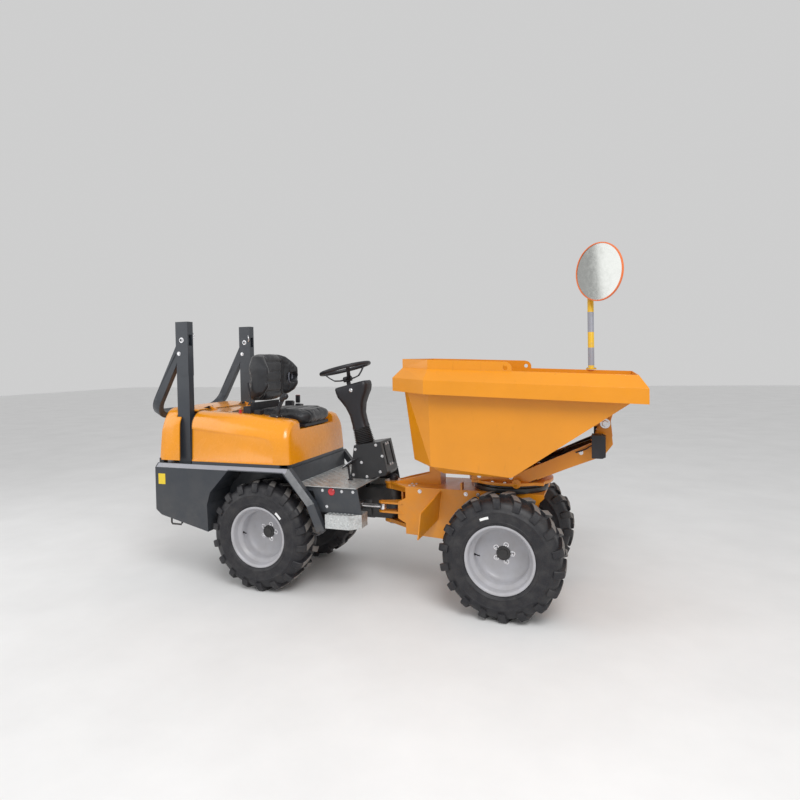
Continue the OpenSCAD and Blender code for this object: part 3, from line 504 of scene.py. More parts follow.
@dataclass(frozen=True)
class GlassFinish(Finish):
    """Mirror glass, silvered, with a little dust."""

    def draw(self, graph: NodeGraph) -> None:
        """Draws the glass into a material.

        Args:
            graph: The material's node graph.
        """
        dust = graph.spread(graph.noise(22, 8), 0.5, 0.85, 0, 0.3)
        graph.join(graph.blend(dust, self.colour, shade(self.colour, 0.75)),
                   graph.shader.inputs["Base Color"])
        graph.join(graph.spread(graph.noise(35, 5), 0.4, 0.8, self.rough, self.rough + 0.09),
                   graph.shader.inputs["Roughness"])
        graph.set(Metallic=1.0)


@dataclass(frozen=True)
class BandedPaint(Finish):
    """Paint in two colours by height, as on a warning pole.

    Attributes:
        second: The other colour.
        edges: Heights where the colour changes, lowest first.
    """

    second: Colour = (0.3, 0.3, 0.3)
    edges: tuple[float, ...] = ()

    def draw(self, graph: NodeGraph) -> None:
        """Draws the bands into a material.

        Args:
            graph: The material's node graph.
        """
        span = 4.0
        ramp = graph.add("ShaderNodeValToRGB")
        ramp.color_ramp.interpolation = "CONSTANT"
        stops = ramp.color_ramp.elements
        stops[0].color = (0, 0, 0, 1)
        stops[1].position = self.edges[0] / span
        stops[1].color = (1, 1, 1, 1)
        for i, edge in enumerate(self.edges[1:]):
            value = float(i % 2)
            stops.new(edge / span).color = (value, value, value, 1)
        graph.join(graph.spread(graph.height(), 0, span), ramp.inputs["Fac"])
        base = graph.blend(ramp.outputs["Color"], self.colour, self.second)
        worn = graph.spread(graph.noise(30, 7), 0.55, 0.75, 0, 0.35)
        graph.join(graph.blend(worn, base, (0.24, 0.24, 0.24)), graph.shader.inputs["Base Color"])
        graph.join(graph.spread(graph.noise(17, 5), 0.3, 0.7, self.rough - 0.06, self.rough + 0.1),
                   graph.shader.inputs["Roughness"])


YELLOW = PaintFinish("yellow_orange_paint", (0.74, 0.270, 0.004), 0.34)
MOULDED = PaintFinish("glossy_hood_moulding", (0.86, 0.315, 0.004), 0.24, dust=0.2, coat=0.6, scuffs=0.2)
ANTHRACITE = PaintFinish("anthracite_paint", (0.030, 0.036, 0.046), 0.42, dust=0.2)
# Light grey for the rear body's folded edge: painted highlight on the dark paint, not a grey part.
EDGE_HIGHLIGHT = PaintFinish("folded_edge_grey", (0.33, 0.34, 0.38), 0.4, dust=0.1)
BLACK = PaintFinish("black_satin_paint", (0.014, 0.015, 0.018), 0.45, dust=0.18)
PLASTIC = PlasticFinish("black_grained_plastic", (0.014, 0.014, 0.018), 0.45)
VINYL = VinylFinish("black_seat_vinyl", (0.012, 0.013, 0.016), 0.42)
# A lighter copy of the black vinyl: painted highlight on the rolled edges of the seat's wing openings.
EDGE_VINYL_HIGHLIGHT = VinylFinish("grey_seat_edge_vinyl", (0.10, 0.105, 0.13), 0.38)
BELLOWS = RubberFinish("black_bellows_rubber", (0.016, 0.016, 0.018), 0.6, dust=0.2)
TYRE = RubberFinish("black_tyre_rubber", (0.013, 0.013, 0.017), 0.5, dust=0.3)
LUG_TOP = RubberFinish("dusty_lug_rubber", (0.20, 0.185, 0.175), 0.75, dust=0.6)
WHEEL = PaintFinish("silver_wheel_paint", (0.46, 0.46, 0.49), 0.38, dust=0.3, coat=0.1)
STEEL = MetalFinish("bare_steel", (0.50, 0.50, 0.52), 0.34)
ZINC = MetalFinish("zinc_plated_steel", (0.78, 0.78, 0.80), 0.24, stain=0.2)
CHROME = MetalFinish("hard_chrome", (0.86, 0.86, 0.88), 0.1, brushed=(0.1, 4, 4), stain=0.08)
TREAD = PlateFinish("galvanised_tread_plate", (0.62, 0.64, 0.64), 0.34)
CAST = MetalFinish("cast_engine_block", (0.20, 0.21, 0.22), 0.6, stain=0.6)
AMBER = LensFinish("amber_lens", (0.85, 0.22, 0.01), 0.16)
CLEAR = LensFinish("clear_lens", (0.80, 0.82, 0.84), 0.12)
RED = LensFinish("red_lens", (0.55, 0.01, 0.02), 0.16)
GLASS = GlassFinish("mirror_glass", (0.50, 0.51, 0.49), 0.09)
ORANGE = PaintFinish("orange_mirror_back", (0.78, 0.17, 0.03), 0.32, dust=0.1, coat=0.4)
LABEL = PaintFinish("blank_white_label", (0.85, 0.85, 0.85), 0.4, dust=0.2, scuffs=0.2)
PLATE_YELLOW = PaintFinish("blank_yellow_label", (0.86, 0.62, 0.02), 0.36, dust=0.2, scuffs=0.2)

POLE = BandedPaint("banded_pole_paint", (0.30, 0.32, 0.37), 0.4, second=(0.80, 0.50, 0.020),
                   edges=(1.40, 1.49, 1.615, 1.725, 1.87, 2.10))

SLOT_FINISH: dict[str, Finish] = {
    "yellow_paint": YELLOW, "hood_paint": MOULDED, "dark_paint": ANTHRACITE, "black_paint": BLACK,
    "black_plastic": PLASTIC, "black_vinyl": VINYL, "bellows_rubber": BELLOWS, "tyre_rubber": TYRE,
    "wheel_paint": WHEEL, "steel": STEEL, "rod_chrome": CHROME, "floor_plate": TREAD,
    "engine_block": CAST, "mirror_orange": ORANGE, "pole_grey": POLE,
}


# ------------------------------------------------------------------ modelling
def deselect() -> None:
    """Leaves nothing selected."""
    bpy.ops.object.select_all(action="DESELECT")


def rounded(outline: Sequence[tuple[float, float]], radius: float, steps: int = 4,
            closed: bool = True) -> list[tuple[float, float]]:
    """Rounds the corners of a flat outline.

    Args:
        outline: The corners in order.
        radius: The radius of the corners, less where an edge is short.
        steps: Points in each corner less one.
        closed: Whether the last point joins the first.

    Returns:
        The rounded outline.
    """
    result: list[tuple[float, float]] = []
    count = len(outline)
    for i, here in enumerate(outline):
        if not closed and i in (0, count - 1):
            result.append(here)
            continue
        corner = Vector(here)
        back = Vector(outline[i - 1]) - corner
        ahead = Vector(outline[(i + 1) % count]) - corner
        cut = min(radius, back.length * 0.45, ahead.length * 0.45)
        start, end = corner + back.normalized() * cut, corner + ahead.normalized() * cut
        for k in range(steps + 1):
            t = k / steps
            point = start * (1 - t) ** 2 + corner * (2 * t * (1 - t)) + end * t ** 2
            result.append((point.x, point.y))
    return result


class Shape:
    """A mesh object that is shaped in edit mode by operators."""

    def __init__(self, obj: bpy.types.Object, name: str) -> None:
        """Takes a new primitive as the shape's start."""
        self.obj = obj
        obj.name = name

    @classmethod
    def box(cls, name: str, low: Sequence[float], high: Sequence[float]) -> "Shape":
        """Adds a block between two corners.

        Args:
            name: The piece's name.
            low: The lower end.
            high: The upper end.

        Returns:
            The shape.
        """
        deselect()
        low, high = Vector(low), Vector(high)
        bpy.ops.mesh.primitive_cube_add(size=1, location=(low + high) / 2)
        shape = cls(bpy.context.object, name)
        shape.obj.scale = high - low
        shape.settle()
        return shape

    @classmethod
    def drum(cls, name: str, start: Vector, end: Vector, radius: float, sides: int = 24,
             tip: float | None = None) -> "Shape":
        """Adds a round bar, or a cone where the end has its own radius.

        Args:
            name: The piece's name.
            start: Where it begins.
            end: Where it ends.
            radius: Its radius.
            sides: How many sides it has.
            tip: The end's radius.

        Returns:
            The shape.
        """
        deselect()
        along = Vector(end) - Vector(start)
        bpy.ops.mesh.primitive_cone_add(
            vertices=sides, radius1=radius, radius2=radius if tip is None else tip, depth=along.length,
            location=(Vector(start) + Vector(end)) / 2, rotation=along.to_track_quat("Z", "Y").to_euler())
        shape = cls(bpy.context.object, name)
        shape.settle()
        return shape

    @classmethod
    def ring(cls, name: str, points: Sequence[Sequence[float]], filled: bool = True) -> "Shape":
        """Adds a loop through points in space, filled or open.

        Args:
            name: The piece's name.
            points: The points it runs through.
            filled: Whether a face fills it.

        Returns:
            The shape.
        """
        deselect()
        bpy.ops.mesh.primitive_circle_add(vertices=len(points), fill_type="NGON" if filled else "NOTHING")
        shape = cls(bpy.context.object, name)
        for vert, point in zip(shape.obj.data.vertices, points):
            vert.co = point
        return shape

    @classmethod
    def loft(cls, name: str, rings: Sequence[Sequence[Sequence[float]]]) -> "Shape":
        """Extrudes a loop of points through all the others, closed at both ends.

        Args:
            name: The piece's name.
            rings: The loops, all with as many points.

        Returns:
            The shape.
        """
        shape = cls.ring(name, rings[0])
        for before, after in zip(rings, rings[1:]):
            shape.extrude_to(before, after)
        return shape.outward()

    @classmethod
    def turned(cls, name: str, section: Sequence[tuple[float, float]], steps: int = 48) -> "Shape":
        """Spins a closed section of radius and height about Z.

        Args:
            name: The piece's name.
            section: Points of radius and height.
            steps: How many steps it takes.

        Returns:
            The shape.
        """
        shape = cls.ring(name, [(r, 0, z) for r, z in section], filled=False)
        shape.select(Pick.VERTS, lambda _: True)
        bpy.ops.mesh.spin(steps=steps, angle=TAU, center=(0, 0, 0), axis=(0, 0, 1))
        bpy.ops.mesh.select_all(action="SELECT")
        bpy.ops.mesh.remove_doubles(threshold=0.00005)
        bpy.ops.mesh.dissolve_degenerate(threshold=0.00005)
        shape.leave()
        return shape.outward()

    @classmethod
    def plate(cls, name: str, outline: Sequence[tuple[float, float]], thick: float, place: Matrix) -> "Shape":
        """Extrudes a flat outline upwards and puts it at a place."""
        shape = cls.loft(name, [[(x, y, z) for x, y in outline] for z in (0.0, thick)])
        return shape.put(place)

    def leave(self) -> "Shape":
        """Goes back to object mode."""
        bpy.ops.object.mode_set(mode="OBJECT")
        return self

    def hold(self) -> None:
        """Makes the shape the only one selected."""
        deselect()
        self.obj.select_set(True)
        bpy.context.view_layer.objects.active = self.obj

    def settle(self) -> "Shape":
        """Puts the object's place into its mesh.

        Returns:
            The shape.
        """
        self.hold()
        bpy.ops.object.transform_apply(location=True, rotation=True, scale=True)
        return self

    def put(self, place: Matrix) -> "Shape":
        """Moves the shape to a place.

        Args:
            place: Where it goes.

        Returns:
            The shape.
        """
        self.obj.matrix_world = place
        self.settle()
        return self.outward() if place.determinant() < 0 else self

    def select(self, pick: Pick, test: Callable[[object], bool]) -> None:
        """Enters edit mode with the elements selected that pass a test.

        Args:
            pick: The kind of element.
            test: Takes a vertex, a face, or an edge's two vertices as a pair.
        """
        self.hold()
        bpy.ops.object.mode_set(mode="EDIT")
        bpy.ops.mesh.select_mode(type=pick.value)
        bpy.ops.mesh.select_all(action="DESELECT")
        bpy.ops.object.mode_set(mode="OBJECT")
        mesh = self.obj.data
        if pick is Pick.VERTS:
            for vert in mesh.vertices:
                vert.select = test(vert)
        elif pick is Pick.EDGES:
            for edge in mesh.edges:
                edge.select = test([mesh.vertices[i] for i in edge.vertices])
        else:
            for face in mesh.polygons:
                face.select = test(face)
        bpy.ops.object.mode_set(mode="EDIT")

    def extrude_to(self, before: Sequence[Sequence[float]], after: Sequence[Sequence[float]]) -> "Shape":
        """Extrudes the face on one loop to the next one.

        Args:
            before: The loop it starts from.
            after: The loop it ends on.

        Returns:
            The shape.
        """
        loop = [Vector(p) for p in before]
        if len(self.obj.data.polygons) == 1:
            self.select(Pick.FACES, lambda _: True)
        else:
            self.hold()
            bpy.ops.object.mode_set(mode="EDIT")
        bpy.ops.mesh.extrude_region_move()
        self.leave()
        for vert in self.obj.data.vertices:
            if vert.select:
                nearest = min(range(len(loop)), key=lambda k: (loop[k] - vert.co).length_squared)
                vert.co = after[nearest]
        return self

    def bevel(self, width: float, segments: int = 2,
              test: Callable[[object], bool] | None = None) -> "Shape":
        """Bevels edges, all of them where no test is given.

        Args:
            width: How wide it is.
            segments: How many steps it has.
            test: Which edges or faces it takes.

        Returns:
            The shape.
        """
        self.select(Pick.EDGES, test or (lambda _: True))
        bpy.ops.mesh.bevel(offset=width, segments=segments, clamp_overlap=True)
        return self.leave()

    def inset(self, width: float, depth: float, test: Callable[[object], bool]) -> "Shape":
        """Insets the faces that pass a test and sinks them.

        Args:
            width: How wide it is.
            depth: How deep it goes.
            test: Which edges or faces it takes.

        Returns:
            The shape.
        """
        self.select(Pick.FACES, test)
        bpy.ops.mesh.inset(thickness=width, depth=-depth)
        return self.leave()

    def delete(self, test: Callable[[object], bool]) -> "Shape":
        """Deletes the faces that pass a test.

        Args:
            test: Which edges or faces it takes.

        Returns:
            The shape.
        """
        self.select(Pick.FACES, test)
        bpy.ops.mesh.delete(type="FACE")
        return self.leave()

    def outward(self) -> "Shape":
        """Turns all faces outwards.

        Returns:
            The shape.
        """
        self.select(Pick.FACES, lambda _: True)
        bpy.ops.mesh.normals_make_consistent(inside=False)
        return self.leave()

    def modify(self, kind: str, **settings: object) -> "Shape":
        """Adds a modifier and applies it.

        Args:
            kind: The kind's name.
            settings: What is set on it.

        Returns:
            The shape.
        """
        self.hold()
        modifier = self.obj.modifiers.new(kind.title(), kind)
        for key, value in settings.items():
            setattr(modifier, key, value)
        bpy.ops.object.modifier_apply(modifier=modifier.name)
        return self

    def cut(self, *tools: "Shape") -> "Shape":
        """Cuts other shapes out of this one and deletes them.

        Args:
            tools: The shapes that cut.

        Returns:
            The shape.
        """
        for tool in tools:
            self.modify("BOOLEAN", operation="DIFFERENCE", object=tool.obj, solver="EXACT")
            bpy.data.objects.remove(tool.obj, do_unlink=True)
        return self

    def copy(self, name: str, place: Matrix) -> "Shape":
        """Copies the shape with its own mesh to a place.

        Args:
            name: The piece's name.
            place: Where it goes.

        Returns:
            The shape.
        """
        twin = self.obj.copy()
        twin.data = self.obj.data.copy()
        bpy.context.scene.collection.objects.link(twin)
        return Shape(twin, name).put(place)

    def join(self, others: Iterable["Shape"]) -> "Shape":
        """Joins other shapes into this one.

        Args:
            others: The shapes that join.

        Returns:
            The shape.
        """
        self.hold()
        for other in others:
            other.obj.select_set(True)
        bpy.ops.object.join()
        return self

    def smooth(self, angle: float = 35) -> "Shape":
        """Shades smooth up to an angle in degrees.

        Args:
            angle: The angle in degrees.

        Returns:
            The shape.
        """
        self.hold()
        bpy.ops.object.shade_smooth_by_angle(angle=math.radians(angle))
        return self

    def dress(self, finish: Finish) -> "Shape":
        """Gives the whole shape one finish.

        Args:
            finish: The finish.

        Returns:
            The shape.
        """
        self.obj.data.materials.clear()
        self.obj.data.materials.append(finish.material())
        return self

    def paint(self, finish: Finish, test: Callable[[object], bool]) -> "Shape":
        """Gives the faces that pass a test another finish.

        Args:
            finish: The finish.
            test: Which edges or faces it takes.

        Returns:
            The shape.
        """
        self.obj.data.materials.append(finish.material())
        index = len(self.obj.data.materials) - 1
        for face in self.obj.data.polygons:
            if test(face):
                face.material_index = index
        return self

    def ride(self, body: Body | str, slot: str, stands_for: Sequence[str] = ()) -> "Shape":
        """Makes the shape a piece of a body.

        Args:
            body: The body it rides on.
            slot: The record's material slot; not used.
            stands_for: The CAD nodes it replaces.

        Returns:
            The shape.
        """
        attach(self.obj, body.value if isinstance(body, Body) else body)
        if stands_for:
            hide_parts(*stands_for)
        log.info("piece %s: %d faces", self.obj.name, len(self.obj.data.polygons))
        return self


def facing(point: Vector, towards: Sequence[float], turn: float = 0) -> Matrix:
    """Gives the place whose Z points towards a direction."""
    spin = Matrix.Rotation(turn, 4, "Z")
    return Matrix.Translation(point) @ Vector(towards).to_track_quat("Z", "Y").to_matrix().to_4x4() @ spin


class Fasteners:
    """Hexagon bolts with washers, copied to their places and joined into one piece."""

    def __init__(self, size: float, domed: bool = False) -> None:
        """Models the bolt once.

        Args:
            size: Corner radius of the head in millimetres.
            domed: Whether the head ends in a dome.
        """
        head = Shape.drum("bolt", Vector(), Vector(mm(0, 0, size * 0.75)), size * MM, sides=6)
        top = size * 0.74 * MM
        head.bevel(size * 0.16 * MM, 1, lambda pair: all(v.co.z > top for v in pair))
        washer = Shape.drum("washer", Vector(), Vector(mm(0, 0, size * 0.2)), size * 1.45 * MM, sides=20)
        pieces = [washer]
        if domed:
            dome = Shape.turned("dome", [mm(0, size * 0.5), mm(size * 0.78, size * 0.5),
                                         mm(size * 0.74, size * 0.95),
                                         mm(size * 0.5, size * 1.25), mm(0, size * 1.4)], 12)
            pieces.append(dome)
        self.bolt = head.join(pieces)

    def fit(self, name: str, body: Body | str, places: Sequence[Matrix], finish: Finish = ZINC,
            slot: str = "steel") -> None:
        """Puts a copy at every place and joins them into one piece.

        Args:
            name: The piece's name.
            body: The body it rides on.
            places: Where the copies go.
            finish: The finish.
            slot: The record's slot.
        """
        copies = [self.bolt.copy(f"{name}_{i}", place) for i, place in enumerate(places)]
        whole = copies[0].join(copies[1:]) if len(copies) > 1 else copies[0]
        whole.obj.name = name
        whole.smooth(28).dress(finish).ride(body, slot)

    def remove(self) -> None:
        """Takes the model bolt away."""
        bpy.data.objects.remove(self.bolt.obj, do_unlink=True)


def tube(name: str, points: Sequence[Vector], radius: float, sides: int = 12) -> Shape:
    """Extrudes a round section along points in metres.

    Args:
        name: The piece's name.
        points: The middle line.
        radius: The radius in metres.
        sides: Sides of the section.

    Returns:
        The tube.
    """
    rings = []
    up = Vector((0, 0, 1))
    for i, here in enumerate(points):
        along = (points[min(i + 1, len(points) - 1)] - points[max(i - 1, 0)]).normalized()
        across = along.cross(up) if abs(along.z) < 0.9 else along.cross(Vector((1, 0, 0)))
        across.normalize()
        lift = across.cross(along)
        rings.append([here + radius * (math.cos(TAU * k / sides) * across + math.sin(TAU * k / sides) * lift)
                      for k in range(sides)])
        up = lift
    return Shape.loft(name, rings)


def curve(points: Sequence[Sequence[float]], steps: int = 8) -> list[Vector]:
    """Gives a smooth line through points in millimetres from the pin.

    Args:
        points: The points it runs through.
        steps: How many steps it takes.

    Returns:
        The points.
    """
    line = [spot(*p) for p in points]
    result = []
    for i in range(len(line) - 1):
        before, start, end, after = line[max(i - 1, 0)], line[i], line[i + 1], line[min(i + 2, len(line) - 1)]
        for k in range(steps):
            t = k / steps
            result.append(0.5 * (2 * start + (end - before) * t + (2 * before - 5 * start + 4 * end - after) * t ** 2
                                 + (3 * start - before - 3 * end + after) * t ** 3))
    return result + [line[-1]]


# ------------------------------------------------------------------ stage and camera
@dataclass
class Studio:
    """The floor, the soft light and the camera."""

    lens: float = 27.3
    eye: Point = (1428.7, -4036.0, 1562.3)
    yaw: float = 110.70
    pitch: float = -1.31
    roll: float = -1.11
    shift: tuple[float, float] = (0.026, -0.0319)
    sky: float = 0.62
    key_watts: float = 230.0
    fill_watts: float = 60.0

    def build(self) -> None:
        """Sets up the stage, the lights and the camera."""
        self.floor()
        self.sky_light()
        self.lamp("key", Vector((2.6, -4.2, 5.2)), 3.0, self.key_watts)
        self.lamp("fill", Vector((-4.5, -2.5, 3.0)), 4.0, self.fill_watts)
        self.camera()

    def floor(self) -> None:
        """Lays the pale floor."""
        low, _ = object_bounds()
        slab = Shape.ring("floor", [(x, y, low[2]) for x, y in ((-30, -30), (30, -30), (30, 30), (-30, 30))])
        graph = NodeGraph("pale_floor")
        base = graph.blend(graph.spread(graph.noise(1.5, 5), 0.3, 0.7), (0.80, 0.80, 0.80),
                           (0.86, 0.86, 0.86))
        graph.join(base, graph.shader.inputs["Base Color"])
        graph.set(Roughness=0.6)
        slab.obj.data.materials.append(graph.material)
        slab.obj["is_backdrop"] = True

    def sky_light(self) -> None:
        """Lights the scene evenly from all round."""
        world = bpy.data.worlds.new("studio")
        bpy.context.scene.world = world
        world.use_nodes = True
        background = world.node_tree.nodes["Background"]
        background.inputs["Color"].default_value = (1, 1, 1, 1)
        background.inputs["Strength"].default_value = self.sky
        bpy.context.scene.view_settings.view_transform = "Standard"

    def lamp(self, name: str, place: Vector, size: float, watts: float) -> None:
        """Hangs a soft lamp that points at the machine.

        Args:
            name: The piece's name.
            place: Where it goes.
            size: Its size.
            watts: Its power.
        """
        data = bpy.data.lights.new(name, "AREA")
        data.size, data.energy = size, watts
        obj = bpy.data.objects.new(name, data)
        bpy.context.scene.collection.objects.link(obj)
        obj.location = place
        obj.rotation_euler = (Vector((0, 0, 0.9)) - place).to_track_quat("-Z", "Y").to_euler()

    def camera(self) -> None:
        """Sets the camera."""
        data = bpy.data.cameras.new("camera")
        data.lens, data.sensor_width = self.lens, 36
        data.shift_x, data.shift_y = self.shift
        yaw, pitch, roll = map(math.radians, (self.yaw, self.pitch, self.roll))
        ahead = Vector((math.cos(yaw) * math.cos(pitch), math.sin(yaw) * math.cos(pitch), math.sin(pitch)))
        right = ahead.cross(Vector((0, 0, 1))).normalized()
        up = right.cross(ahead)
        axes = (right * math.cos(roll) + up * math.sin(roll), up * math.cos(roll) - right * math.sin(roll),
                -ahead)
        place = Matrix(axes).transposed().to_4x4()
        place.translation = spot(*self.eye)
        obj = bpy.data.objects.new("camera", data)
        bpy.context.scene.collection.objects.link(obj)
        obj.matrix_world = place
        bpy.context.scene.camera = obj


@dataclass
class CadFinish:
    """Dresses the solids of the frame in their slots' finishes and softens their edges."""

    edge: float = 2.0
    plain: tuple[str, ...] = ("tyre", "rim")

    def dress(self) -> None:
        """Dresses every node."""
        for entry in frame["record"]["subparts"]:
            node = frame["nodes"][entry["node"]]
            node.data.materials.clear()
            node.data.materials.append(SLOT_FINISH[entry["material_slot"]].material())
            weld = node.modifiers.new("Weld", "WELD")
            weld.merge_threshold = 0.00002
            if not node.name.startswith(self.plain):
                self.soften(node)

    def soften(self, node: bpy.types.Object) -> None:
        """Rounds the node's edges.

        Args:
            node: The CAD node's name.
        """
        bevel = node.modifiers.new("Bevel", "BEVEL")
        bevel.width = self.edge * MM
        bevel.segments = 2
        bevel.limit_method = "ANGLE"
        bevel.angle_limit = 0.6
        bevel.harden_normals = True
        bevel.use_clamp_overlap = True


# ------------------------------------------------------------------ wheels
@dataclass
class Wheels:
    """The four wheels: lugged tyres on drop-centre rims with domed nuts.

    The wheel's own frame has its axle along Z and +Z outboard.
    """

    lug_count: int = 18
    labels: dict[str, tuple[float, float]] = field(default_factory=lambda: {"f": (260, 1.90),
        "r": (236, 0.75)})
    label_half: tuple[float, float] = (27, 7.5)
    lug_in: tuple[float, float] = (7, 19)       # middle and half width at the tread's middle
    lug_out: tuple[float, float] = (55, 25)     # and at the shoulder's end
    lug_bow: float = 5                          # the lug bows this far from a straight one
    reach: float = 129                          # half of the tyre's width
    bore: float = 28.5
    nut_count: int = 5
    nut_ring: float = 54
    disc_z: float = -42
    sections: int = 72

    def sidewall(self) -> list[tuple[float, float]]:
        """Gives one side of the carcass from the bead to the tread.

        Returns:
            The values.
        """
        w = self.reach
        return [(196, 100), (209.5, 110.5), (213, w - 10), (219, w - 5), (226, w - 2.4), (228, w - 0.3),
                (232, w - 0.3), (234, w - 2), (262, w - 1), (285, w - 1.8), (287, w - 0.4), (291, w - 0.8),
                (293, w - 2.6), (312, w - 8), (330, w - 17), (343, w - 28), (350, w - 41), (353, 60),
                (354.5, 25)]

    def lug_lines(self) -> list[tuple[tuple[float, float], tuple[float, float]]]:
        """Gives top and base of a lug as axial place and radius along its length.

        Returns:
            The values.
        """
        return [((-8, 372.5), (-8, 350)), ((10, 374.6), (10, 350)), ((40, 374.6), (40, 350)),
                ((70, 374.2), (68, 350)), ((96, 372), (86, 346)), ((108, 366), (92, 340)),
                ((116, 356), (97, 332)), ((122, 343), (101, 324)), ((126.5, 328), (106, 315)),
                ((128.5, 312), (110, 304))]

    def lug(self, side: int) -> Shape:
        """Models a lug of one side of the tread.

        Args:
            side: -1 for the right, 1 for the left.

        Returns:
            The shape.
        """
        rings = []
        lines = self.lug_lines()
        for (top_z, top_r), (base_z, base_r) in lines:
            t = (top_z - lines[0][0][0]) / (self.reach - lines[0][0][0])
            middle = self.lug_in[0] + t * (self.lug_out[0] - self.lug_in[0]) + self.lug_bow * math.sin(math.pi * t)
            half = self.lug_in[1] + t * (self.lug_out[1] - self.lug_in[1])
            ring = []
            for share, across in ((0, -half - 4), (0.86, -half + 0.5), (1, -half + 4.5), (1, half - 4.5),
                                  (0.86, half - 0.5), (0, half + 4)):
                radius = base_r + share * (top_r - base_r)
                turn = -(middle + across) / 372
                axial = base_z + share * (top_z - base_z)
                ring.append(mm(radius * math.cos(turn), radius * math.sin(turn), side * axial))
            rings.append(ring)
        return Shape.loft("lug", rings)

    def tyre(self) -> Shape:
        """Models a whole tyre.

        Returns:
            The shape.
        """
        half = self.sidewall()
        section = half + [(r, -z) for r, z in reversed(half)]
        carcass = Shape.turned("tyre", [mm(*p) for p in section], self.sections).smooth(40)
        pitch = TAU / self.lug_count
        lugs = []
        for side in (1, -1):
            first = self.lug(side)
            start = pitch / 2 if side < 0 else 0
            lugs += [first.copy("lug", Matrix.Rotation(start + i * pitch, 4,
                                                       "Z")) for i in range(self.lug_count)]
            bpy.data.objects.remove(first.obj, do_unlink=True)
        carcass.join(lugs)
        carcass.dress(TYRE)
        return carcass.paint(LUG_TOP, lambda f: math.hypot(f.center.x, f.center.y) > 0.3712)

    def rim(self) -> Shape:
        """Models a rim with its disc.

        Returns:
            The shape.
        """
        flange = [(188.7, 104), (191, 111), (197, 116.5), (204, 118), (208.5, 116.5), (209, 113),
                  (204, 111.5), (197, 108)]
        section = [(self.bore, self.disc_z), (96, self.disc_z), (128, -40), (150, -33), (162, -20), (165, -8),
                   (165, 40), (170, 50), (186, 62), (188.7, 68)] + flange
        section += [(194.7, 104), (194.7, 62), (171, 48), (171, -50), (194.7, -66), (194.7, -104)]
        section += [(r, -z) for r, z in reversed(flange)]
        section += [(188.7, -70), (165, -54), (150, -50), (48, -50), (48, -69), (self.bore, -69)]
        return Shape.turned("rim", [mm(*p) for p in section], self.sections).smooth(30).dress(WHEEL)

    def hub(self) -> Shape:
        """Models the dark hub cap in the disc's middle.

        Returns:
            The shape.
        """
        base = self.disc_z
        section = [(0, base), (43, base), (43, base + 6), (40, base + 9), (29, base + 10), (27, base + 15),
                   (0, base + 17)]
        return Shape.turned("hub", [mm(*p) for p in section], 40).smooth(30).dress(BLACK)

    def valve(self) -> Shape:
        """Models the valve that stands in the rim's barrel.

        Returns:
            The shape.
        """
        body = Shape.drum("valve", Vector(mm(-166, 0, 30)), Vector(mm(-158, 0, 34)), 7 * MM, 14)
        stem = Shape.drum("stem", Vector(mm(-160, 0, 33)), Vector(mm(-128, 0, 52)), 4 * MM, 12)
        return body.join([stem]).smooth().dress(PLASTIC)

    def label(self, name: str, radius: float, turn: float) -> Shape:
        """Models a small blank label that follows the sidewall.

        Args:
            name: The piece's name.
            radius: The middle's distance from the axle, in mm.
            turn: The middle's angle about the axle.

        Returns:
            The shape.
        """
        half = sorted(self.sidewall())

        def height(r: float) -> float:
            """Gives how far out the sidewall stands at a radius.

            Args:
                r: The radius.

            Returns:
                The value.
            """
            for (r0, z0), (r1, z1) in zip(half, half[1:]):
                if r0 <= r <= r1 and r1 > r0:
                    return z0 + (z1 - z0) * (r - r0) / (r1 - r0)
            return half[-1][1]

        spin = self.label_half[0] / radius
        outline = [(radius + side * self.label_half[1], turn + spin * along) for side, along in
                    [(-1, -1 + k / 3) for k in range(7)] + [(1, 1 - k / 3) for k in range(7)]]
        layers = [[Vector(mm(r * math.cos(a), r * math.sin(a), height(r) + lift)) for r,
                   a in outline] for lift in (-0.6, 0.35)]
        return Shape.loft(name, layers).dress(LABEL)

    def build(self) -> None:
        """Models one wheel and copies it to the four corners."""
        models = {"tyre": self.tyre(), "rim": self.rim(), "hub_cap": self.hub(), "valve": self.valve()}
        nuts = Fasteners(11.5, domed=True)
        ring = [Matrix.Rotation(TAU * i / self.nut_count, 4,
                                "Z") @ Matrix.Translation(mm(self.nut_ring, 0, self.disc_z - 1))
                for i in range(self.nut_count)]
        slots = {"tyre": "tyre_rubber", "rim": "wheel_paint", "hub_cap": "black_paint",
                 "valve": "black_plastic"}
        for corner in ("fr", "fl", "rr", "rl"):
            body = f"wheel_{corner}"
            middle = joint_place(f"{body}_roll")
            place = Matrix.Translation(middle) @ Matrix.Rotation(math.copysign(math.pi / 2, -middle.y), 4,
                                                                 "X")
            for key, model in models.items():
                piece = model.copy(f"{key}_shape_{corner}", place)
                stands_for = [f"{key}_{corner}"] if key in ("tyre", "rim") else []
                piece.ride(body, slots[key], stands_for)
            nuts.fit(f"wheel_nuts_{corner}", body, [place @ stud for stud in ring])
            radius, turn = self.labels[corner[0]]
            self.label(f"tyre_label_{corner}", radius, turn).put(place).ride(body, "tyre_rubber")
        for model in models.values():
            bpy.data.objects.remove(model.obj, do_unlink=True)
        nuts.remove()


